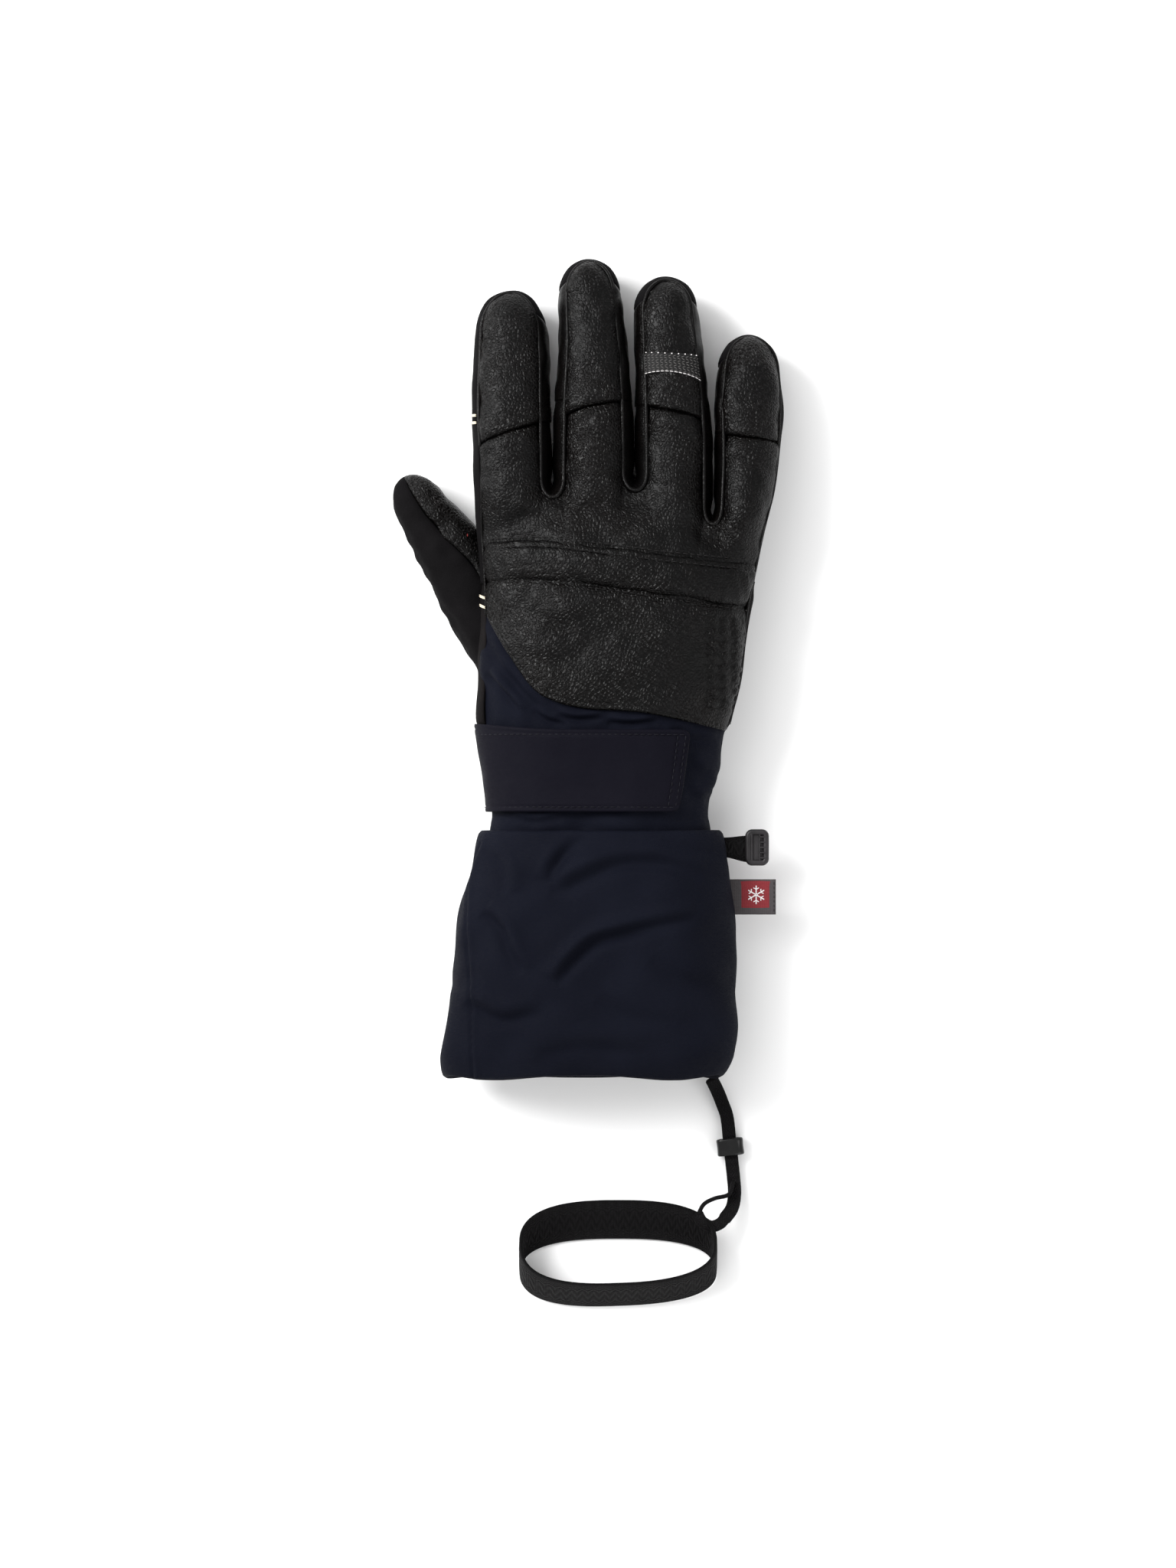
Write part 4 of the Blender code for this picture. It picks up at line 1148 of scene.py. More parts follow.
# The angles at which a finger's base starts and ends, on the finger and on the hand.
def angleBorders(name, dorsal):
    order = list(fingers).index(name)
    leftSeam, rightSeam = fingers[name]["seams"]

    def slitAngle(x):
        angle = handAngle(np.array([x]), slitLevel)[0]
        return angle if dorsal else 360 - angle

    first = 180 - hand["leftSeam"] if order == 0 else slitAngle(slitMiddles[order - 1] + slitHalf)
    last = hand["rightSeam"] + (0 if dorsal else 360) if order == 3 else slitAngle(slitMiddles[order] - slitHalf)
    if dorsal:
        return (180 - leftSeam, rightSeam), (first, last)
    return (180 - leftSeam if order == 0 else 225, 360 + rightSeam if order == 3 else 315), (first, last)


# One finger's base columns: their angles on the finger and on the hand, and where each turns from one to the other.
def baseColumns(name, dorsal):
    finger = fingers[name]
    ofFinger, ofHand = angleBorders(name, dorsal)
    count = finger["columns"] if dorsal else finger["columns"] + 6
    fingerAngle = evenAngles(*ofFinger, count, 15.0, 17.0)
    handSide = evenAngles(*ofHand, count, hand["halfX"], 21.0)
    (joinA, splitA), (joinB, splitB) = finger["join"]
    share = np.linspace(0, 1, count)
    return {
        "finger": finger,
        "fingerAngle": fingerAngle,
        "handAngle": handSide,
        "share": share,
        "join": joinA + (joinB - joinA) * share,
        "split": splitA + (splitB - splitA) * share,
    }


# A point of a finger's base: the hand's point eased into the finger's between join and split.
def basePoint(columns, which, y):
    flat = handPoint(columns["handAngle"][which, None], y)
    turned = fingerPoint(columns["finger"], columns["fingerAngle"][which, None], y)
    join, split = columns["join"][which, None], columns["split"][which, None]
    return flat + (turned - flat) * ease((y - join) / (split - join))[..., None]


# The cross seam: a line from left to right plus a bow that follows half a sine.
def crossY(finger, share):
    left, right, bow = finger["crossSeam"]
    return left + (right - left) * share + bow * np.sin(np.pi * share)


# Where the slits on a finger's two sides have their straight part end, carried across the finger.
def slitTop(name, share):
    names = list(fingers)
    order = names.index(name)
    tops = [slit["bottom"] + slit["curve"] for slit in slits.values()]
    left = tops[max(order - 1, 0)]
    right = tops[min(order, 2)]
    return left + (right - left) * share


# Where a slit's rounded end runs: y falls from its top by its curve times the sine, while x crosses the gap.
def slitCurve(pair, turn):
    slit = slits[pair]
    return slit["bottom"] + slit["curve"] * (1 - np.sin(turn)), (1 - np.cos(turn)) / 2


# The border of a finger's base on its first or last column.
def edgePoint(name, last, dorsal, y):
    columns = baseColumns(name, dorsal)
    which = np.array([len(columns["share"]) - 1 if last else 0])
    return basePoint(columns, which, np.atleast_1d(y)[None])[0]


# A point on a slit's rounded end, between the borders of its two fingers.
def slitPoint(pair, turn, dorsal):
    y, across = slitCurve(pair, turn)
    a, b = edgePoint(pair[0], True, dorsal, y), edgePoint(pair[1], False, dorsal, y)
    return a + (b - a) * across[:, None]


# The paths of the three seams that run down one finger, round the slit and up the next finger.
def seamPaths():
    paths = []
    for pair in slits:
        turn = np.linspace(0, np.pi, 16)
        top = slits[pair]["bottom"] + slits[pair]["curve"]
        yA = np.linspace(crossY(fingers[pair[0]], 1.0), top, 12)[:-1]
        yB = np.linspace(top, crossY(fingers[pair[1]], 0.0), 12)[1:]
        down, up = edgePoint(pair[0], True, True, yA), edgePoint(pair[1], False, True, yB)
        paths.append(np.concatenate([down, slitPoint(pair, turn, True), up]))
    return paths


def basePanel(dorsal):
    grids = []
    edges = seamPaths()
    for name in fingers:
        columns = baseColumns(name, dorsal)
        which = np.arange(len(columns["share"]))
        share = columns["share"]
        x = handPoint(columns["handAngle"], 45.0)[..., 0]
        start = lineY(band["top"], x) - 2.0 if dorsal else np.full(len(share), 34.0)
        top = slitTop(name, share)
        end = crossY(fingers[name], share) if dorsal else np.full(len(share), fingers[name]["zone"][0] - 0.5)
        lower = start[:, None] + (top - start)[:, None] * np.linspace(0, 1, 38)[None]
        upper = top[:, None] + (end - top)[:, None] * np.linspace(0, 1, 34)[None, 1:]
        y = np.concatenate([lower, upper], 1)
        points = basePoint(columns, which, y)
        grids.append({"points": points, "end": end[:, None] - y, "start": y - start[:, None]})
    for pair in slits:
        turn = np.linspace(0, np.pi, 13)
        end, across = slitCurve(pair, turn)
        a, b = baseColumns(pair[0], dorsal), baseColumns(pair[1], dorsal)
        starts = []
        for columns, which in ((a, -1), (b, 0)):
            x = handPoint(columns["handAngle"][which], 45.0)[0]
            starts.append(float(lineY(band["top"], x) - 2.0) if dorsal else 34.0)
        start = starts[0] + (starts[1] - starts[0]) * across
        y = start[:, None] + (end - start)[:, None] * np.linspace(0, 1, 38)[None]
        left = basePoint(a, np.array([len(a["share"]) - 1]), y.reshape(1, -1)).reshape(*y.shape, 3)
        right = basePoint(b, np.array([0]), y.reshape(1, -1)).reshape(*y.shape, 3)
        points = left + (right - left) * across[:, None, None]
        far = np.full(y.shape, 40.0)
        grids.append({"points": points, "end": far, "start": y - start[:, None]})
    made = []
    for grid in grids:
        points = grid["points"]
        flat = points[..., :2]
        near = np.full(flat.shape[:2], 40.0)
        for edge in edges:
            signed, _ = fromPath(edge[:, :2], flat[..., 0], flat[..., 1])
            near = np.minimum(near, np.abs(signed))
        rise = puff(near, 0.5, 1.2, 0.7, 5.0) * ease((points[..., 1] - 52) / 16)
        if dorsal:
            rise = rise + puff(grid["end"], 0.9, 1.1, 0.35, 4.0) - 0.35
            rise = rise + 0.35 * ripple(points, 26, 41) + 0.15 * ripple(points, 8, 42)
            for path, width, deep in (
                (((-6, 62), (8, 67), (24, 66)), 3.0, 0.7),
                (((28, 60), (40, 57), (52, 50)), 3.2, 0.6),
                (((-34, 58), (-22, 61), (-10, 58)), 3.2, 0.5),
                (((24, 92), (34, 95), (44, 91)), 2.2, 0.5),
                (((-4, 90), (4, 93), (12, 90)), 2.6, 0.5),
                (((-40, 76), (-30, 80), (-22, 76)), 3.0, 0.4),
                (((56, 80), (64, 84), (74, 80)), 2.6, 0.5),
            ):
                rise = rise + fold(points, path, width, deep)
            sideways = np.minimum(np.abs(points[..., 0] + 46), np.abs(points[..., 0] - 78))
            rise = rise - 0.3 * np.exp(-sideways / 2)
        else:
            rise = rise + 0.3 * ripple(points, 26, 43)
        made.append(sheetGrid(points, middleOf(hand["sections"], points[..., 1]), rise))
    return made


def addBases():
    back = meshObject("knuckleBack", basePanel(True), "leather", wall=1.1)
    sew(back, "knuckleBend", "leather", "knuckle_back")
    palm = meshObject("knucklePalm", basePanel(False), "suede", wall=1.1)
    sew(palm, "knuckleBend", "suede", "knuckle_palm")


addBases()
print("finger bases ready")


# The strip between two fingers: down one finger's side, round the slit's end and up the other's. Across it, each
# point is the finger's own side moved so that its borders meet the back and the palm.
def addFourchette(pair):
    a, b = fingers[pair[0]], fingers[pair[1]]
    top = slits[pair]["bottom"] + slits[pair]["curve"]
    v = np.linspace(0, 1, 30)
    runs = []
    for side, finger, name in ((0, a, pair[0]), (1, b, pair[1])):
        rowsY = tubeRows(finger["zone"][0] - 0.5, top, 0.9)
        upperEdge = edgePoint(name, side == 0, True, rowsY)
        lowerEdge = edgePoint(name, side == 0, False, rowsY)
        seam = finger["seams"][1 - side]
        angle = seam + (-45 - seam) * v
        if side:
            angle = 180 - angle
        raw = fingerPoint(finger, angle[None], rowsY[:, None])
        fix = (upperEdge - raw[:, 0])[:, None] * (1 - v)[None, :, None]
        fix = fix + (lowerEdge - raw[:, -1])[:, None] * v[None, :, None]
        runs.append(raw + fix)
    turn = np.linspace(0, np.pi, 19)
    topEdge, lowEdge = slitPoint(pair, turn, True), slitPoint(pair, turn, False)
    chord = topEdge[:, None] + (lowEdge - topEdge)[:, None] * v[None, :, None]
    ends = []
    for run in (runs[0][-1], runs[1][-1]):
        straight = run[:1] + (run[-1:] - run[:1]) * v[:, None]
        ends.append(np.abs((run - straight)[:, 0]))
    share = (1 - np.cos(turn)) / 2
    size = ends[0][None] + (ends[1] - ends[0])[None] * share[:, None]
    direction = np.stack([np.cos(turn), np.sin(turn), 0 * turn], 1)
    heightFix = (runs[0][-1] - chord[0])[None, :, 2] * (1 - share)[:, None]
    heightFix = heightFix + (runs[1][-1] - chord[-1])[None, :, 2] * share[:, None]
    middle = chord + size[..., None] * direction[:, None]
    middle[..., 2] += heightFix
    points = np.concatenate([runs[0], middle[1:-1], runs[1][::-1]])
    half = len(runs[0])
    along = np.arange(len(points))
    away = np.minimum(along, len(points) - 1 - along) * 0.9
    full = ease(away / 7) * ease(np.minimum(np.abs(along - half), np.abs(along - len(points) + len(runs[1]))) / 6)
    rise = puff(edgeDistance(points, ["start", "end"]), 0.5, 1.2, 0.0) + 0.12 * ripple(points, 12, 51)
    rise = rise + 0.62 * full[:, None] * np.sin(np.pi * v)[None] ** 2
    inside = points.copy()
    inside[:half, :, 0] -= 6
    inside[-len(runs[1]) :, :, 0] += 6
    inside[half : -len(runs[1]), :, 1] -= 6
    strip = meshObject(f"fourchette-{pair[0]}-{pair[1]}", [sheetGrid(points, inside, rise)], "piping", wall=0.9)
    sew(strip, "knuckleBend", "leather", f"fourchette_{pair[0]}_{pair[1]}")


for slitPair in slits:
    addFourchette(slitPair)
print("fourchettes ready")


# ---- each finger past its cross seam


# A finger's upper seam, as an angle above its side: constant, then drawn in so that it follows the tip.
def seamAngle(finger, side, y):
    knee = finger["tip"] - finger["rounded"]
    base = bulge(np.cos(np.radians(finger["seams"][side])))
    past = np.clip((y - knee) / (finger["rounded"] - tipInset), 0.0, 1.0)
    share = np.maximum(tipShare(y, finger["tip"], finger["rounded"]), 1e-6)
    value = np.clip(base * np.sqrt(1 - past * past) / share, 0.0, 1.0)
    return np.degrees(np.arccos(value ** (roundness / 2)))


# Its lower seam, which rises to meet the upper one before the tip.
def lowerAngle(finger, name, side, y):
    upper = seamAngle(finger, side, y)
    if (name, side) in (("index", 0), ("little", 1)):
        return upper
    knee = finger["tip"] - finger["rounded"]
    return -45 + (upper + 45) * ease((y - knee + 5) / (finger["rounded"] - 7 + 5))


def addFinger(name):
    finger = fingers[name]
    knee = finger["tip"] - finger["rounded"]
    tip = finger["tip"]
    cut = finger["zone"][0] - 0.5
    count = finger["columns"]

    def centre(points):
        return middleOf(finger["sections"], points[..., 1] - 4)

    even = evenAngles(180 - finger["seams"][0], finger["seams"][1], count, 15, 16)
    share = (even - even[0]) / (even[-1] - even[0])
    start = crossY(finger, np.linspace(0, 1, count))
    straight = np.linspace(0, 1, 40)
    curved = np.sin(np.radians(np.linspace(0, 90, 19)[1:]))
    overTip = knee + (finger["rounded"] - tipInset) * curved[None] + 0 * start[:, None]
    y = np.concatenate([start[:, None] + (knee - start)[:, None] * straight[None], overTip], 1)
    first, last = 180 - seamAngle(finger, 0, y), seamAngle(finger, 1, y)
    points = fingerPoint(finger, first + (last - first) * share[:, None], y)
    rise = puff(edgeDistance(points, ["first", "last", "end"]), 0.5, 1.2, 0.7, 5.0)
    rise = rise + 0.55 - 1.1 * np.exp(-edgeDistance(points, ["start"]) / 0.7)
    rise = rise + 0.3 * ripple(points, 24, 61) + 0.12 * ripple(points, 7, 62)
    bend, middleX = start.mean(), points[count // 2, 0, 0]
    for shift, deep in ((6.0, 0.35), (13.0, 0.3)):
        level = bend + shift
        path = ((middleX - 11, level - 1), (middleX, level + 1.5), (middleX + 11, level))
        rise = rise + fold(points, path, 2.6, deep)
    back = meshObject(f"{name}Back", [sheetGrid(points, centre(points), rise)], "leather", wall=1.1)
    sew(back, f"{name}Bend", "leather", f"{name}_back")

    columns = count + 10
    rows = tipRows(cut, knee, 1.1, finger["rounded"])
    y = rows[None] + np.zeros((columns, 1))
    first = 180 - lowerAngle(finger, name, 0, y)
    last = 360 + lowerAngle(finger, name, 1, y)
    even = evenAngles(225, 315, columns, 15, 16)
    share = (even - even[0]) / (even[-1] - even[0])
    if name in ("index", "little"):
        share = np.linspace(0, 1, columns)
    points = fingerPoint(finger, first + (last - first) * share[:, None], y)
    rise = puff(edgeDistance(points, ["first", "last"]), 0.5, 1.2, 0.4, 5.0) * ease((tip - 1 - y) / 3)
    rise = rise + 0.25 * ripple(points, 20, 63)
    palm = meshObject(f"{name}Palm", [sheetGrid(points, centre(points), rise)], "suede", wall=1.1)
    sew(palm, f"{name}Bend", "suede", f"{name}_palm")

    for side, word in ((0, "left"), (1, "right")):
        if (name, side) in (("index", 0), ("little", 1)):
            continue
        rows = tubeRows(cut, tip - 7.0, 1.0)
        v = np.linspace(0, 1, 24)
        upper, lower = seamAngle(finger, side, rows), lowerAngle(finger, name, side, rows)
        angle = upper[None] + (lower - upper)[None] * v[:, None]
        points = fingerPoint(finger, 180 - angle if side == 0 else angle, rows[None] + 0 * angle)
        rise = puff(edgeDistance(points, ["first", "last"]), 0.5, 1.2, 0.2, 5.0) + 0.2 * ripple(points, 14, 64)
        strip = meshObject(f"{name}-{word}-fourchette", [sheetGrid(points, centre(points), rise)], "piping", wall=0.9)
        sew(strip, f"{name}Bend", "leather", f"{name}_{word}_fourchette")

    rows = tipRows(finger["join"][0][1] + 4, knee, 2.5, finger["rounded"] - 1.2, 9)
    angle = np.linspace(0, 360, 41)[:-1]
    core = fingerPoint(finger, angle[:, None], rows[None] + 0 * angle[:, None])
    middle = middleOf(finger["sections"], rows)[None]
    shrink = np.sqrt(np.maximum(1 - np.clip((rows - knee) / (finger["rounded"] - 1.2), 0, 1) ** 2, 0)) / np.maximum(
        tipShare(rows, tip, finger["rounded"]), 1e-6
    )
    points = middle + (core - middle) * (0.76 * shrink)[None, :, None]
    grid = sheetGrid(points, middle - (0, 6, 0), wrapColumns=True)
    lining = meshObject(f"{name}Lining", [grid], "lining", wall=0.7)
    sew(lining, f"{name}Bend", "lining", f"{name}_lining", f"{name}_base_lining")


for fingerName in fingers:
    addFinger(fingerName)
print("fingers ready")


# ---- piping along the seams


def addPiping():
    for pair, path in zip(slits, seamPaths()):
        rope = tubeObject(f"piping-{pair[0]}-{pair[1]}", resample(path, 0.9), 0.85, 0.85, "piping", sides=9)
        sew(rope, "knuckleBend", "leather")
    for name, finger in fingers.items():
        knee = finger["tip"] - finger["rounded"]
        sides = []
        for side in (0, 1):
            start = float(crossY(finger, 1.0 * side))
            rows = tipRows(start, knee, 1.0, finger["rounded"] - tipInset)
            angle = seamAngle(finger, side, rows)
            sides.append(fingerPoint(finger, 180 - angle if side == 0 else angle, rows))
        path = np.concatenate([sides[0], sides[1][::-1][1:]])
        rope = tubeObject(f"{name}Piping", resample(path, 0.9), 0.8, 0.8, "piping", sides=9)
        sew(rope, f"{name}Bend", "leather")
    for name, last, side in (("index", False, 180 - hand["leftSeam"]), ("little", True, hand["rightSeam"])):
        rows = tubeRows(float(crossY(fingers[name], 1.0 * last)), 36.0, 1.2)
        upper = edgePoint(name, last, True, rows)
        lower = handPoint(side, tubeRows(34.8, 22.0 if name == "index" else -24.0, 1.2))
        rope = tubeObject(f"{name}SideSeam", resample(np.concatenate([upper, lower]), 1.0), 0.6, 0.6, "piping", sides=8)
        sew(rope, "knuckleBend", "leather")


addPiping()
print("piping ready")

# ---- padding and linings inside the hand


def addInside():
    angle = evenAngles(30, 150, 46, hand["halfX"], hand["halfZ"])
    y = tubeRows(-8.0, 46.0, 1.8)
    points, _ = skin(handPoint, angle[:, None], y[None] + 0 * angle[:, None], np.full((len(angle), len(y)), -2.3))
    rise = -1.1 * np.exp(-edgeDistance(points, ["first", "last", "start", "end"]) / 3.0) + 0.15 * ripple(points, 16, 71)
    pad = handPanel("backInsulation", points, rise, "foam", 1.8)
    sew(pad, "knuckleBend", "foam", "back_insulation")

    angle = evenAngles(-90, 270, 121, hand["halfX"], hand["halfZ"])[:-1]
    y = tubeRows(34.0, 53.0, 1.8)
    points, _ = skin(handPoint, angle[:, None], y[None] + 0 * angle[:, None], np.full((len(angle), len(y)), -5.6))
    sleeve = handPanel("knuckleLining", points, 0.2 * ripple(points, 14, 72), "lining", 0.7, wrapColumns=True)
    sew(sleeve, "knuckleBend", "lining")


addInside()
print("padding and linings ready")

# ---- the thumb

thumbSeam = [(4.0, 58.0), (30.0, 62.0), (46.0, 68.0), (59.0, 84.0), (69.0, 88.0), (82.0, 90.0), (94.0, 90.0)]


def addThumb():
    knee = thumb["tip"] - thumb["rounded"]
    rows = tipRows(8.0, knee, 0.9, thumb["rounded"])
    middle = thumbPlace(middleOf(thumb["sections"], rows - 5))
    seam = lineY(thumbSeam, rows)
    wave = 1.6 * np.sin(rows / 3.1) + 1.0 * np.sin(rows / 1.7 + 1.0)
    tucked = seam + wave * ease((knee - rows) / 8) * 0.8 + 1.0
    even = evenAngles(0, 180, 56, 12, 12) / 180
    for name, low, high, finish, nodes in (
        ("thumbOuter", seam, 270 + 0 * rows, "suede", ("thumb_outer", "thumb_base")),
        ("thumbInner", -90 + 0 * rows, tucked, "leather", ("thumb_inner",)),
    ):
        angle = low[None] + (high - low)[None] * even[:, None]
        lift, pinch = (0.35, 0.45) if name == "thumbInner" else (0.0, 1.1)
        points = thumbPoint(angle, rows[None] + 0 * angle)
        side = edgeDistance(points, ["first" if name == "thumbOuter" else "last"])
        rise = lift - 0.9 * np.exp(-side / pinch) + 0.55 * (1 - np.exp(-side / 4)) - 0.3
        rise = rise + 0.35 * ripple(points, 22, 81) + 0.18 * ripple(points, 9, 82)
        rise = rise * ease((thumb["tip"] - rows) / 2.5)[None]
        for path, width, deep in (
            (((-66, 62), (-60, 58), (-54, 58)), 2.4, 0.5),
            (((-60, 50), (-54, 46), (-48, 47)), 2.6, 0.6),
            (((-74, 60), (-68, 54), (-60, 50)), 3.0, 0.4),
        ):
            rise = rise + np.where(points[..., 2] > 10, fold(points, path, width, deep), 0)
        panel = meshObject(name, [sheetGrid(points, middle[None], rise)], finish, wall=1.1)
        sew(panel, "thumbBend", finish, *nodes)
    rowsIn = tipRows(30.0, knee, 2.5, thumb["rounded"] - 1.4, 9)
    angle = np.linspace(0, 360, 37)[:-1]
    core = thumbPoint(angle[:, None], rowsIn[None] + 0 * angle[:, None])
    centre = thumbPlace(middleOf(thumb["sections"], rowsIn))[None]
    inner = np.sqrt(np.maximum(1 - np.clip((rowsIn - knee) / (thumb["rounded"] - 1.4), 0, 1) ** 2, 0))
    inner = 0.72 * inner / np.maximum(tipShare(rowsIn, thumb["tip"], thumb["rounded"]), 1e-6)
    points = centre + (core - centre) * inner[None, :, None]
    inside = centre - (thumbPlace(np.array((0.0, 5.0, 0.0))) - thumbPlace(np.zeros(3)))
    lining = meshObject("thumbLining", [sheetGrid(points, inside, wrapColumns=True)], "lining", wall=0.7)
    sew(lining, "thumbBend", "lining", "thumb_lining")

    rows = np.linspace(44.0, 88.0, 60)
    path, normal = skin(thumbPoint, lineY(thumbSeam, rows) - 4.5, rows, 0.55 + 0 * rows)
    stitch = stitchObject("thumbStitches", [(path, normal)], "darkThread", 2.8, 2.0, 0.22)
    sew(stitch, "thumbBend", "leather")
    rows = np.array([60.0, 61.4])
    path, normal = skin(thumbPoint, np.array([57.0, 52.0]), rows, 0.7 + 0 * rows)
    tack = stitchObject("thumbTack", [(path, normal)], "redThread", 1.5, 1.4, 0.22)
    sew(tack, "thumbBend", "leather")


addThumb()
print("thumb ready")

# ---- the wrist strap, from its free end over the back and round to the palm side

strap = {
    "angles": (51.0, 197.0),
    "y": (-57.6, -24.2),
    "corner": 3.6,
    "lift": [(51.0, 3.7), (70.0, 3.6), (105.0, 3.5), (125.0, 3.2), (150.0, 2.6), (185.0, 1.9), (197.0, 0.9)],
}


# The strap's outer face: the hand's, raised by the strap's own lift.
def strapSkin(angle, y, more=0.0):
    return skin(handPoint, angle, y, lineY(strap["lift"], angle) + more)


def addStrap():
    first, last = strap["angles"]
    low, high = strap["y"]
    angle = evenAngles(first, last, 190, 46.0, 23.2)
    middle = (low + high) / 2
    spine, _ = strapSkin(angle, middle + 0 * angle)
    run = np.concatenate([[0.0], np.cumsum(np.linalg.norm(np.diff(spine, axis=0), axis=1))])
    short = np.clip(strap["corner"] - run, 0, strap["corner"])
    corner = strap["corner"] - np.sqrt(np.maximum(strap["corner"] ** 2 - short**2, 0))
    half = (high - low) / 2 - corner
    side = np.linspace(-1, 1, 58)
    # the strap grows wider towards the thumb side
    y = middle + half[:, None] * side[None] + 2.2 * ease((angle - 100) / 70)[:, None] * np.clip(side, 0, 1)[None]
    points, _ = strapSkin(angle[:, None] + 0 * y, y)
    border = edgeDistance(points, ["start", "end", "first"])
    rise = -0.35 * np.exp(-border / 0.5) - 0.28 * np.exp(-(((border - 2.0) / 0.5) ** 2))
    rise = rise - 0.22 * np.exp(-(((run[:, None] - 5.2) / 0.5) ** 2)) * (border > 2.0)
    rise = rise + 0.22 * ripple(points, 44, 91) + 0.08 * ripple(points, 14, 92)
    tab = handPanel("wristStrap", points, rise, "strap", 1.4)
    sew(tab, "strapBend", "strap_fabric", "strap_tab", "strap_base")

    inset = 2.0
    across = np.linspace(low + inset, high - inset, 40)
    endAngle = np.interp(inset, run, angle)
    rows = []
    for shift in (inset, 5.2):
        at = np.interp(shift, run, angle)
        rows.append(strapSkin(np.full(40, at), across, -0.12))
    rim = angle[(angle > endAngle) & (angle < 190)]
    for edge in (low + inset, high - inset):
        rows.append(strapSkin(rim, np.full(len(rim), edge), -0.12))
    stitch = stitchObject("strapStitches", rows, "navyThread", 2.6, 1.9, 0.2)
    sew(stitch, "strapBend", "strap_fabric")

    for name, lift, finish, slotName, node, where in (
        ("hookPatch", 1.85, "webbing", "webbing", "hook_patch", "strapBend"),
        ("loopPatch", 1.15, "lining", "lining", "loop_patch", "hand"),
    ):
        angle = evenAngles(57.0, 109.0, 60, 46.0, 23.2)
        y = np.linspace(low + 3.4, high - 3.4, 32)
        points, _ = skin(handPoint, angle[:, None] + 0 * y, y[None] + 0 * angle[:, None], np.full((60, 32), lift))
        rise = -0.2 * np.exp(-edgeDistance(points, ["start", "end", "first", "last"]) / 0.8)
        grid = sheetGrid(points, middleOf(hand["sections"], points[..., 1]), rise, cell=(0.8, 0.85))
        patch = meshObject(name, [grid], finish, wall=0.7, mapped=finish == "webbing")
        sew(patch, where, slotName, node)


addStrap()
print("wrist strap ready")

# ---- the link clip and the label on the gauntlet's side

clip = {"webbing": (51.5, 66.4), "halfY": (4.0, 5.4), "y": -71.8, "z": 20.0, "frame": (64.9, 72.0), "frameHalf": 6.1}
label = {"x": (55.5, 76.0), "y": (-98.8, -84.6), "z": 20.0, "field": (61.6, 73.9, -96.6, -85.1)}


# A rounded rectangle as a closed path: its corner's circle is pushed out to the four sides.
def roundedPath(x, y, corner, z, count=96):
    turn = np.linspace(0, 2 * np.pi, count, endpoint=False)
    halfX, halfY = (x[1] - x[0]) / 2 - corner, (y[1] - y[0]) / 2 - corner
    px = (x[0] + x[1]) / 2 + np.sign(np.cos(turn)) * halfX + corner * np.cos(turn)
    py = (y[0] + y[1]) / 2 + np.sign(np.sin(turn)) * halfY + corner * np.sin(turn)
    return resample(np.stack([px, py, np.full(count, z)], 1), count=count, closed=True)


def addClip():
    start, end = clip["webbing"]
    x = np.linspace(start, end, 34)
    share = ease((x - 55) / (end - 56))
    path = np.stack([x, clip["y"] - 0.6 * share, clip["z"] + 0.5 * np.sin((x - start) / 4)], 1)
    width = clip["halfY"][0] + (clip["halfY"][1] - clip["halfY"][0]) * share
    grid = tubeGrid(path, 1.0, 1.0, sides=36, power=5.0)
    core = grid["points"]
    centre = np.concatenate([path[:1].repeat(3, 0), path, path[-1:].repeat(3, 0)])
    widths = np.concatenate([width[:1].repeat(3), width, width[-1:].repeat(3)])
    offset = core - core.mean(1, keepdims=True)
    core = centre[:, None] + offset * np.stack([np.ones_like(widths), widths, np.ones_like(widths)], 1)[:, None]
    grid = {"points": core, "wrapRows": True, "cell": (0.45, 0.6), "inside": centre[:, None]}
    tape = meshObject("linkWebbing", [grid], "webbing", mapped=True)
    sew(tape, "gauntlet", "webbing", "link_webbing")

    low, high = clip["frame"]
    y = (clip["y"] - clip["frameHalf"], clip["y"] + clip["frameHalf"])
    rim = roundedPath((low, high), y, 1.6, clip["z"])
    frameGrid = tubeGrid(rim, 1.25, 2.5, sides=20, closed=True, power=3.2)
    frameGrid["inside"] = rim[:, None]
    bars = []
    for at, width, height in ((68.2, 3.2, 1.5), (66.3, 0.7, 2.3), (69.5, 0.5, 2.1)):
        bar = np.stack([np.full(16, at), np.linspace(y[0] + 0.4, y[1] - 0.4, 16), np.full(16, clip["z"])], 1)
        bars.append(tubeGrid(bar, width, height, sides=18, power=3.5))
    for shift in (-4.2, -2.1, 0.0, 2.1, 4.2):
        rib = np.stack([np.linspace(70.0, 71.9, 8), np.full(8, clip["y"] + shift), np.full(8, clip["z"] + 2.15)], 1)
        bars.append(tubeGrid(rib, 0.42, 0.45, sides=8))
    buckle = meshObject("linkClip", [frameGrid, *bars], "clip")
    sew(buckle, "clip", "plastic", "link_clip")


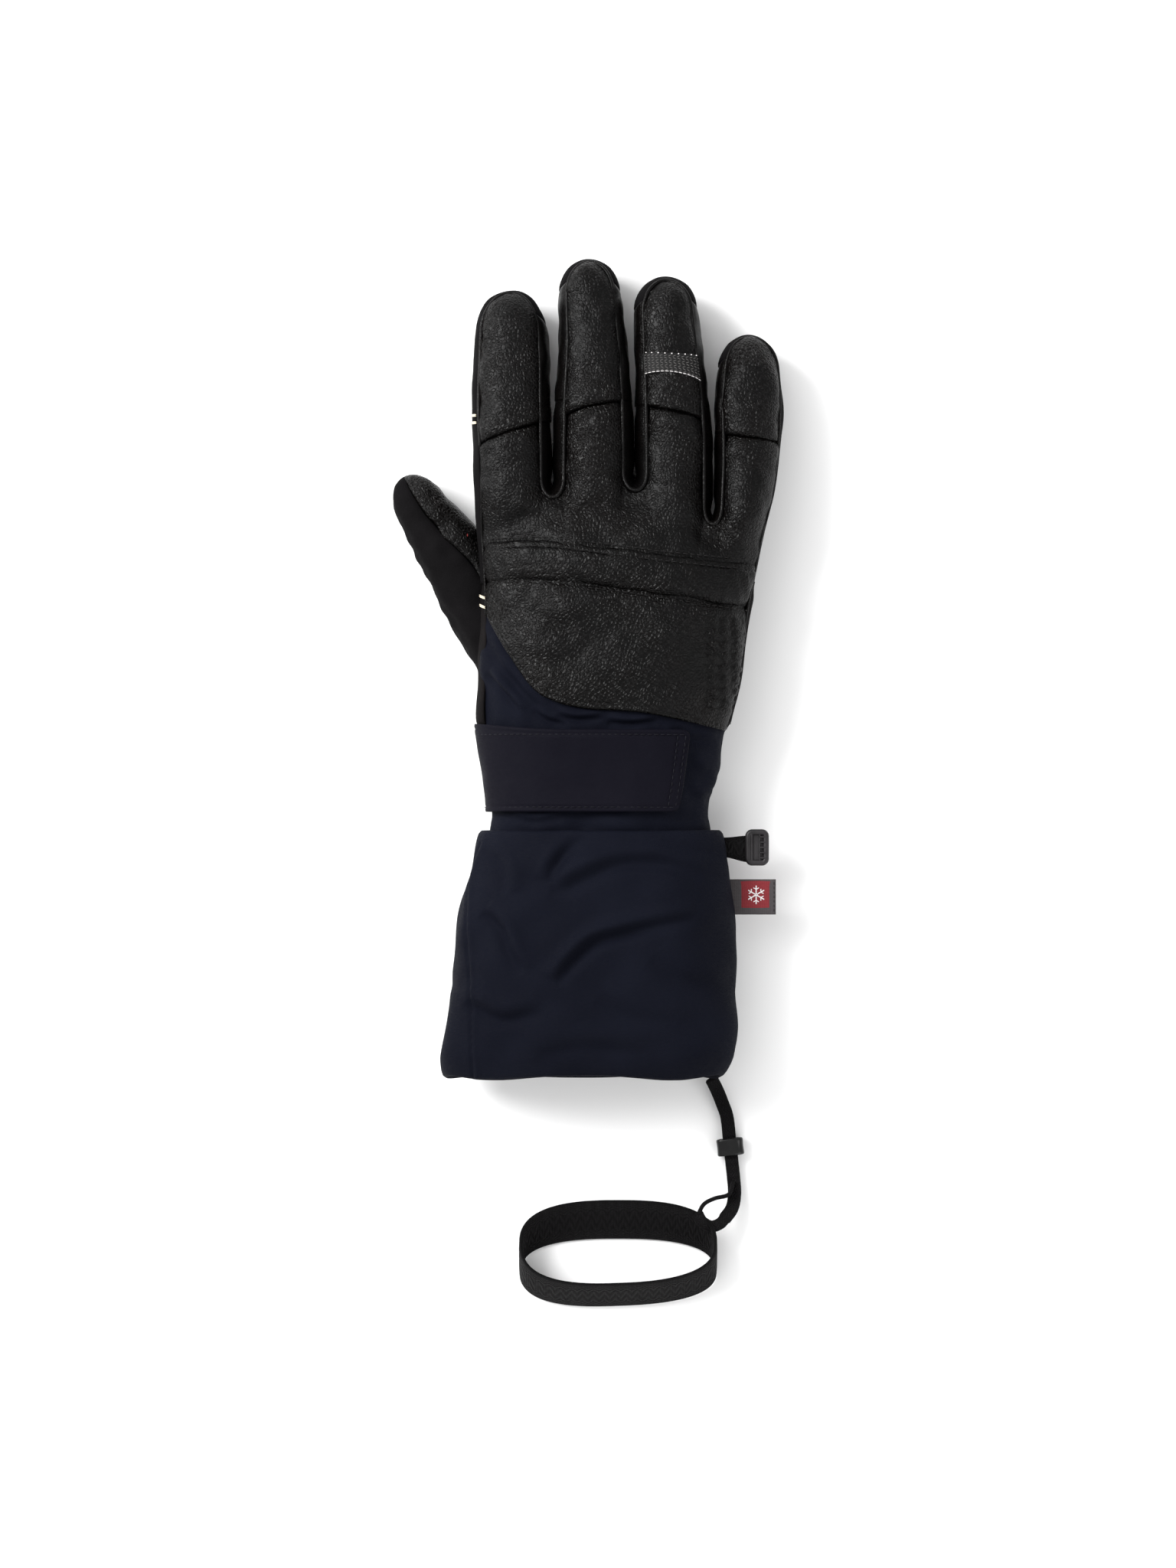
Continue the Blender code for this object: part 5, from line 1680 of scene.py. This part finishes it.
def addLabel():
    (left, right), (low, high), z = label["x"], label["y"], label["z"]
    x = np.linspace(left, right, 60)
    turn = np.linspace(0, 2 * np.pi, 64, endpoint=False)
    half = (high - low) / 2
    c, s = bulge(np.cos(turn), 6), bulge(np.sin(turn), 3)
    lift = 0.35 * np.sin((x - left) / 6.0)
    thick = 0.55 * np.sqrt(np.clip((right - x) / 0.8, 0.0, 1.0))
    y = (low + high) / 2 + half * 0.999 * c[None]
    body = np.stack(np.broadcast_arrays(x[:, None], y, z + lift[:, None] + thick[:, None] * s[None]), -1)
    grid = {"points": body, "wrapRows": True, "inside": np.stack([x, 0 * x + (low + high) / 2, z + lift], 1)[:, None]}
    ribbon = meshObject("sideLabel", [grid], "labelGrey")
    sew(ribbon, "label", "label", "side_label")

    def lay(px, py, up):
        return np.stack([px, py, z + 0.35 * np.sin((px - left) / 6.0) + up], -1)

    fieldX, fieldEnd, fieldLow, fieldHigh = label["field"]
    u, v = np.meshgrid(np.linspace(-1, 1, 40), np.linspace(-1, 1, 40), indexing="ij")
    px = (fieldX + fieldEnd) / 2 + (fieldEnd - fieldX) / 2 * u
    py = (fieldLow + fieldHigh) / 2 + (fieldHigh - fieldLow) / 2 * v * (1 - 0.03 * u**2)
    for sign, name in ((1, "labelFieldUpper"), (-1, "labelFieldUnder")):
        points = lay(px, py, sign * (0.62 - 0.25 * np.maximum(np.abs(u), np.abs(v)) ** 14))
        field = meshObject(name, [{"points": points, "inside": points - (0, 0, 1.0 * sign)}], "labelRed", wall=0.2)
        sew(field, "label", "label")
    centreX, centreY = (fieldX + fieldEnd) / 2 + 0.3, (fieldLow + fieldHigh) / 2
    grids = []
    for k in range(6):
        turn = np.radians(60 * k + 30)
        arm = np.linspace(0.3, 3.6, 14)
        ray = lay(centreX + arm * np.cos(turn), centreY + arm * np.sin(turn), 0.7)
        grids.append(tubeGrid(ray, 0.24, 0.16, sides=8))
        for bend in (-60, 60):
            side = turn + np.radians(bend)
            barb = np.linspace(0.0, 1.15, 7)
            bx = centreX + 2.2 * np.cos(turn) + barb * np.cos(side)
            by = centreY + 2.2 * np.sin(turn) + barb * np.sin(side)
            grids.append(tubeGrid(lay(bx, by, 0.7), 0.2, 0.15, sides=8))
    crystal = meshObject("labelSnowCrystal", grids, "labelWhite")
    sew(crystal, "label", "label")
    line = lay(np.full(20, fieldEnd + 1.4), np.linspace(low + 0.8, high - 0.8, 20), 0.56)
    row = (line, np.tile((0.0, 0.0, 1.0), (20, 1)))
    stitch = stitchObject("labelStitches", [row], "darkThread", 1.8, 1.3, 0.16)
    sew(stitch, "label", "label")


addClip()
addLabel()
print("clip and label ready")

# ---- the leash: a flat tape from the hem through a slider to the wrist loop

leash = {
    "route": [
        (50.4, -165.6, 8.6),
        (52.6, -170.0, 5.2),
        (54.6, -175.0, 3.6),
        (56.6, -181.0, 3.3),
        (57.8, -192.0, 3.3),
        (59.3, -206.0, 3.3),
        (59.6, -212.0, 4.0),
        (58.6, -217.4, 6.0),
        (55.6, -221.6, 8.4),
    ],
    "return": [
        (58.9, -207.5, 4.4),
        (57.2, -211.9, 7.2),
        (51.5, -213.4, 9.6),
        (47.2, -215.6, 11.4),
        (45.0, -219.4, 12.2),
    ],
    "fold": [
        (55.8, -221.3, 8.2),
        (53.6, -223.6, 9.4),
        (50.0, -224.6, 11.0),
        (46.4, -222.6, 12.2),
        (44.6, -219.6, 12.4),
    ],
    "width": 5.4,
    "thick": 2.1,
    "slider": {"at": (57.9, -192.8, 3.3), "turn": 6.1, "half": (5.4, 3.2), "hole": (3.25, 1.5)},
}
loop = {
    "x": 12.6,
    "half": 39.2,
    "thick": 1.6,
    "footY": -243.9,
    "footHalf": 13.4,
    "rimY": -230.6,
    "rimHalf": 16.6,
    "height": 14.4,
    "lean": 3.0,
    "power": 2.6,
    "skew": 1.4,
}


# A point on the loop: from its foot to its rim, each a rounded rectangle, by the share up.
def loopPoint(turn, up):
    c, s = bulge(np.cos(turn), loop["power"]), bulge(np.sin(turn), loop["power"])
    x = loop["x"] + loop["half"] * c
    skew = loop["skew"] * c * np.maximum(-s, 0)
    foot = np.stack(np.broadcast_arrays(x, loop["footY"] + loop["footHalf"] * s + skew, 0.0), -1)
    height = loop["height"] - loop["lean"] * s
    rim = np.stack(np.broadcast_arrays(x, loop["rimY"] + loop["rimHalf"] * s + skew, height), -1)
    return foot + (rim - foot) * np.asarray(up)[..., None]


def addLeash():
    route = resample(curvePath(leash["route"], 120), count=60)
    grid = tubeGrid(route, leash["width"] / 2, leash["thick"] / 2, sides=32, power=2.8)
    grid["cell"] = (1.0, 14.0 / 32)
    sides = np.linspace(0, 2 * np.pi, 32, endpoint=False)
    groove = -0.25 * np.exp(-((np.cos(sides) / 0.12) ** 2))
    grid["rise"] = np.broadcast_to(groove, grid["points"].shape[:2])
    grid["points"][..., 2] = np.maximum(grid["points"][..., 2], floorGap)
    tape = meshObject("leashTape", [grid], "tape", mapped=True)
    sew(tape, "leash", "webbing", "leash_cord")

    look = leash["slider"]
    turn = np.linspace(0, 2 * np.pi, 64, endpoint=False)
    bevel = np.radians(np.linspace(-60, 90, 6))
    corner = np.stack([2.7 + 0.8 * np.cos(bevel), 0.62 + 0.38 * np.sin(bevel)], 1)
    flat = np.array([(2.0, 0.99), (1.2, 0.97), (0.0, 0.96)])
    half = np.concatenate([[(0.0, 0.0), (2.2, 0.0), (3.0, 0.06), (3.1, 0.2)], corner, flat])
    profile = np.concatenate([half, (half * (-1, 1))[-2:0:-1]])
    table = [(k, *point) for k, point in enumerate(np.concatenate([profile[-2:], profile, profile[:3]]))]
    smooth = smoothTable(table, np.linspace(2, len(profile) + 2, 73)[:-1])
    along, share = smooth[:, 0], smooth[:, 1]

    def ring(half, power=3.0):
        return np.stack([half[0] * bulge(np.cos(turn), power), half[1] * bulge(np.sin(turn), power)], 1)

    outer, hole = ring(look["half"]), ring(look["hole"])
    flat = hole[:, None] + (outer - hole)[:, None] * share[None, :, None]
    angle = np.radians(look["turn"])
    x = flat[..., 0] * np.cos(angle) - along[None] * np.sin(angle) + look["at"][0]
    y = flat[..., 0] * np.sin(angle) + along[None] * np.cos(angle) + look["at"][1]
    points = np.stack([x, y, flat[..., 1] + look["at"][2]], -1)
    middle = (hole + outer)[:, None] / 2
    mx = middle[..., 0] * np.cos(angle) + look["at"][0]
    my = middle[..., 0] * np.sin(angle) + look["at"][1]
    inside = np.stack([mx, my, middle[..., 1] + look["at"][2]], -1)
    grid = sheetGrid(points, inside, wrapColumns=True, wrapRows=True)
    barrel = meshObject("leashSlider", [grid], "slider")
    sew(barrel, "slider", "slider_plastic", "leash_slider")

    even = np.linspace(0, 2 * np.pi, 1441)
    rough = loopPoint(even, 0.5)
    run = np.concatenate([[0.0], np.cumsum(np.linalg.norm(np.diff(rough, axis=0), axis=1))])
    turn = np.interp(np.linspace(0, run[-1], 241)[:-1], run, even)
    around = np.linspace(0, 2 * np.pi, 44, endpoint=False)
    c, s = bulge(np.cos(around), 5), bulge(np.sin(around), 2.5)
    up = 0.515 + 0.485 * c
    core = loopPoint(turn[:, None], up[None] + 0 * turn[:, None])
    step = 0.02
    along = loopPoint(turn + step, 0.5) - loopPoint(turn - step, 0.5)
    rise = loopPoint(turn, 1.0) - loopPoint(turn, 0.0)
    normal = np.cross(along, rise)
    normal /= np.linalg.norm(normal, axis=1, keepdims=True)
    points = core + normal[:, None] * (loop["thick"] / 2 * s)[None, :, None]
    selvedge = 0.12 * np.exp(-(((np.abs(c) - 0.9) / 0.05) ** 2)) * np.sign(s)
    points = points + normal[:, None] * selvedge[None, :, None]
    points[..., 2] = np.maximum(points[..., 2], floorGap)
    cell = (run[-1] / 240, 40.0 / 44)
    grid = {"points": points, "wrapColumns": True, "wrapRows": True, "cell": cell, "inside": core}
    webbing = meshObject("wristLoop", [grid], "webbing", mapped=True)
    sew(webbing, "loop", "webbing", "wrist_loop")

    strands = []
    for name, path, width, height, sides, around in (
        ("leashReturn", leash["return"], 0.85, 1.7, 20, 8.0),
        ("leashFold", leash["fold"], 2.4, 1.0, 24, 11.0),
    ):
        grid = tubeGrid(resample(curvePath(path, 40), 0.8), width, height, sides=sides, power=2.8)
        grid["cell"] = (0.8, around / sides)
        strands.append(meshObject(name, [grid], "tape", mapped=True))
        sew(strands[-1], "leash", "webbing")


addLeash()
print("leash ready")

# ---- the woven strip on the ring finger, and the tacks


def addTrim():
    finger = fingers["ring"]
    angle = evenAngles(finger["seams"][1] + 2, 180 - finger["seams"][0] - 2, 60, 14.5, 15.5)
    share = np.linspace(0, 1, 60)
    low, high = 114.6 + 2.9 * share + 2.0 * np.sin(np.pi * share), 125.6 + 1.4 * share
    y = low[:, None] + (high - low)[:, None] * np.linspace(0, 1, 26)[None]

    crown = 1.0 + 0.85 * (1 - np.exp(-28 * np.minimum(share, 1 - share) / 3))

    def ringSkin(a, b, lift):
        return skin(lambda p, q: fingerPoint(finger, p, q), a, b, lift)

    points, _ = ringSkin(angle[:, None] + 0 * y, y, crown[:, None] + 0 * y)
    rise = -0.45 * np.exp(-edgeDistance(points, ["start", "end", "first", "last"]) / 0.5)
    grid = sheetGrid(points, middleOf(finger["sections"], points[..., 1]), rise)
    strip = meshObject("wipeStrip", [grid], "wipe", wall=0.7)
    sew(strip, "ringBend", "wipe", "wipe_strip")

    rows = []
    for k in range(7):
        level = 0.13 + 0.118 * k
        rows.append((ringSkin(angle, low + (high - low) * level, crown), 0.45 if k % 2 else -0.45))
    grids = []
    for (path, normal), slant in rows:
        grids += stitchGrid(path, normal, 1.7, 1.25, 0.15, slant=slant)
    weave = meshObject("wipeWeave", grids, "wipeThread")
    sew(weave, "ringBend", "wipe")
    path, normal = ringSkin(angle, high - 0.4, crown)
    specks = stitchObject("wipeSpecks", [(path, normal)], "labelWhite", 2.5, 0.6, 0.22)
    sew(specks, "ringBend", "wipe")
    path, normal = ringSkin(angle, low + 0.5, crown)
    line = stitchObject("wipeStitches", [(path, normal)], "labelWhite", 1.75, 1.5, 0.14)
    sew(line, "ringBend", "wipe")

    finger = fingers["index"]
    grids = []
    for at in (98.3, 101.2):
        rows = np.linspace(-46.6, -42.9, 8)
        turn = np.linspace(170.0, 139.0, 8)
        path, normal = skin(lambda p, q: fingerPoint(finger, p, q), turn, np.full(8, at), 0.75 + 0 * rows)
        grids += stitchGrid(path, normal, 9.0, 5.2, 0.3, sink=0.1)
        grids += stitchGrid(path + (0, 0.55, 0), normal, 9.0, 5.0, 0.28, sink=0.1)
    tacks = meshObject("indexTacks", grids, "paleThread")
    sew(tacks, "knuckleBend", "leather")
    grids = []
    for at in (24.4, 28.2):
        turn = np.linspace(174.0, 157.0, 8)
        path, normal = skin(handPoint, turn, np.linspace(at + 1.2, at - 0.6, 8), np.full(8, 0.9))
        grids += stitchGrid(path, normal, 12.0, 6.0, 0.3, sink=0.1)
        grids += stitchGrid(path + (0, 0.55, 0), normal, 12.0, 5.8, 0.28, sink=0.1)
    tacks = meshObject("handTacks", grids, "paleThread")
    sew(tacks, "hand", "leather")


addTrim()
print("trim ready")


# ---- floor and finish


def addFloor():
    size = studio["floorSize"]
    line = np.linspace(-size * 500, size * 500, 3)
    x, y = np.meshgrid(line, line, indexing="ij")
    floor = meshObject("floor", [{"points": np.stack([x, y, 0 * x - 0.2], -1)}], "floor")


addFloor()
print("all pieces ready")
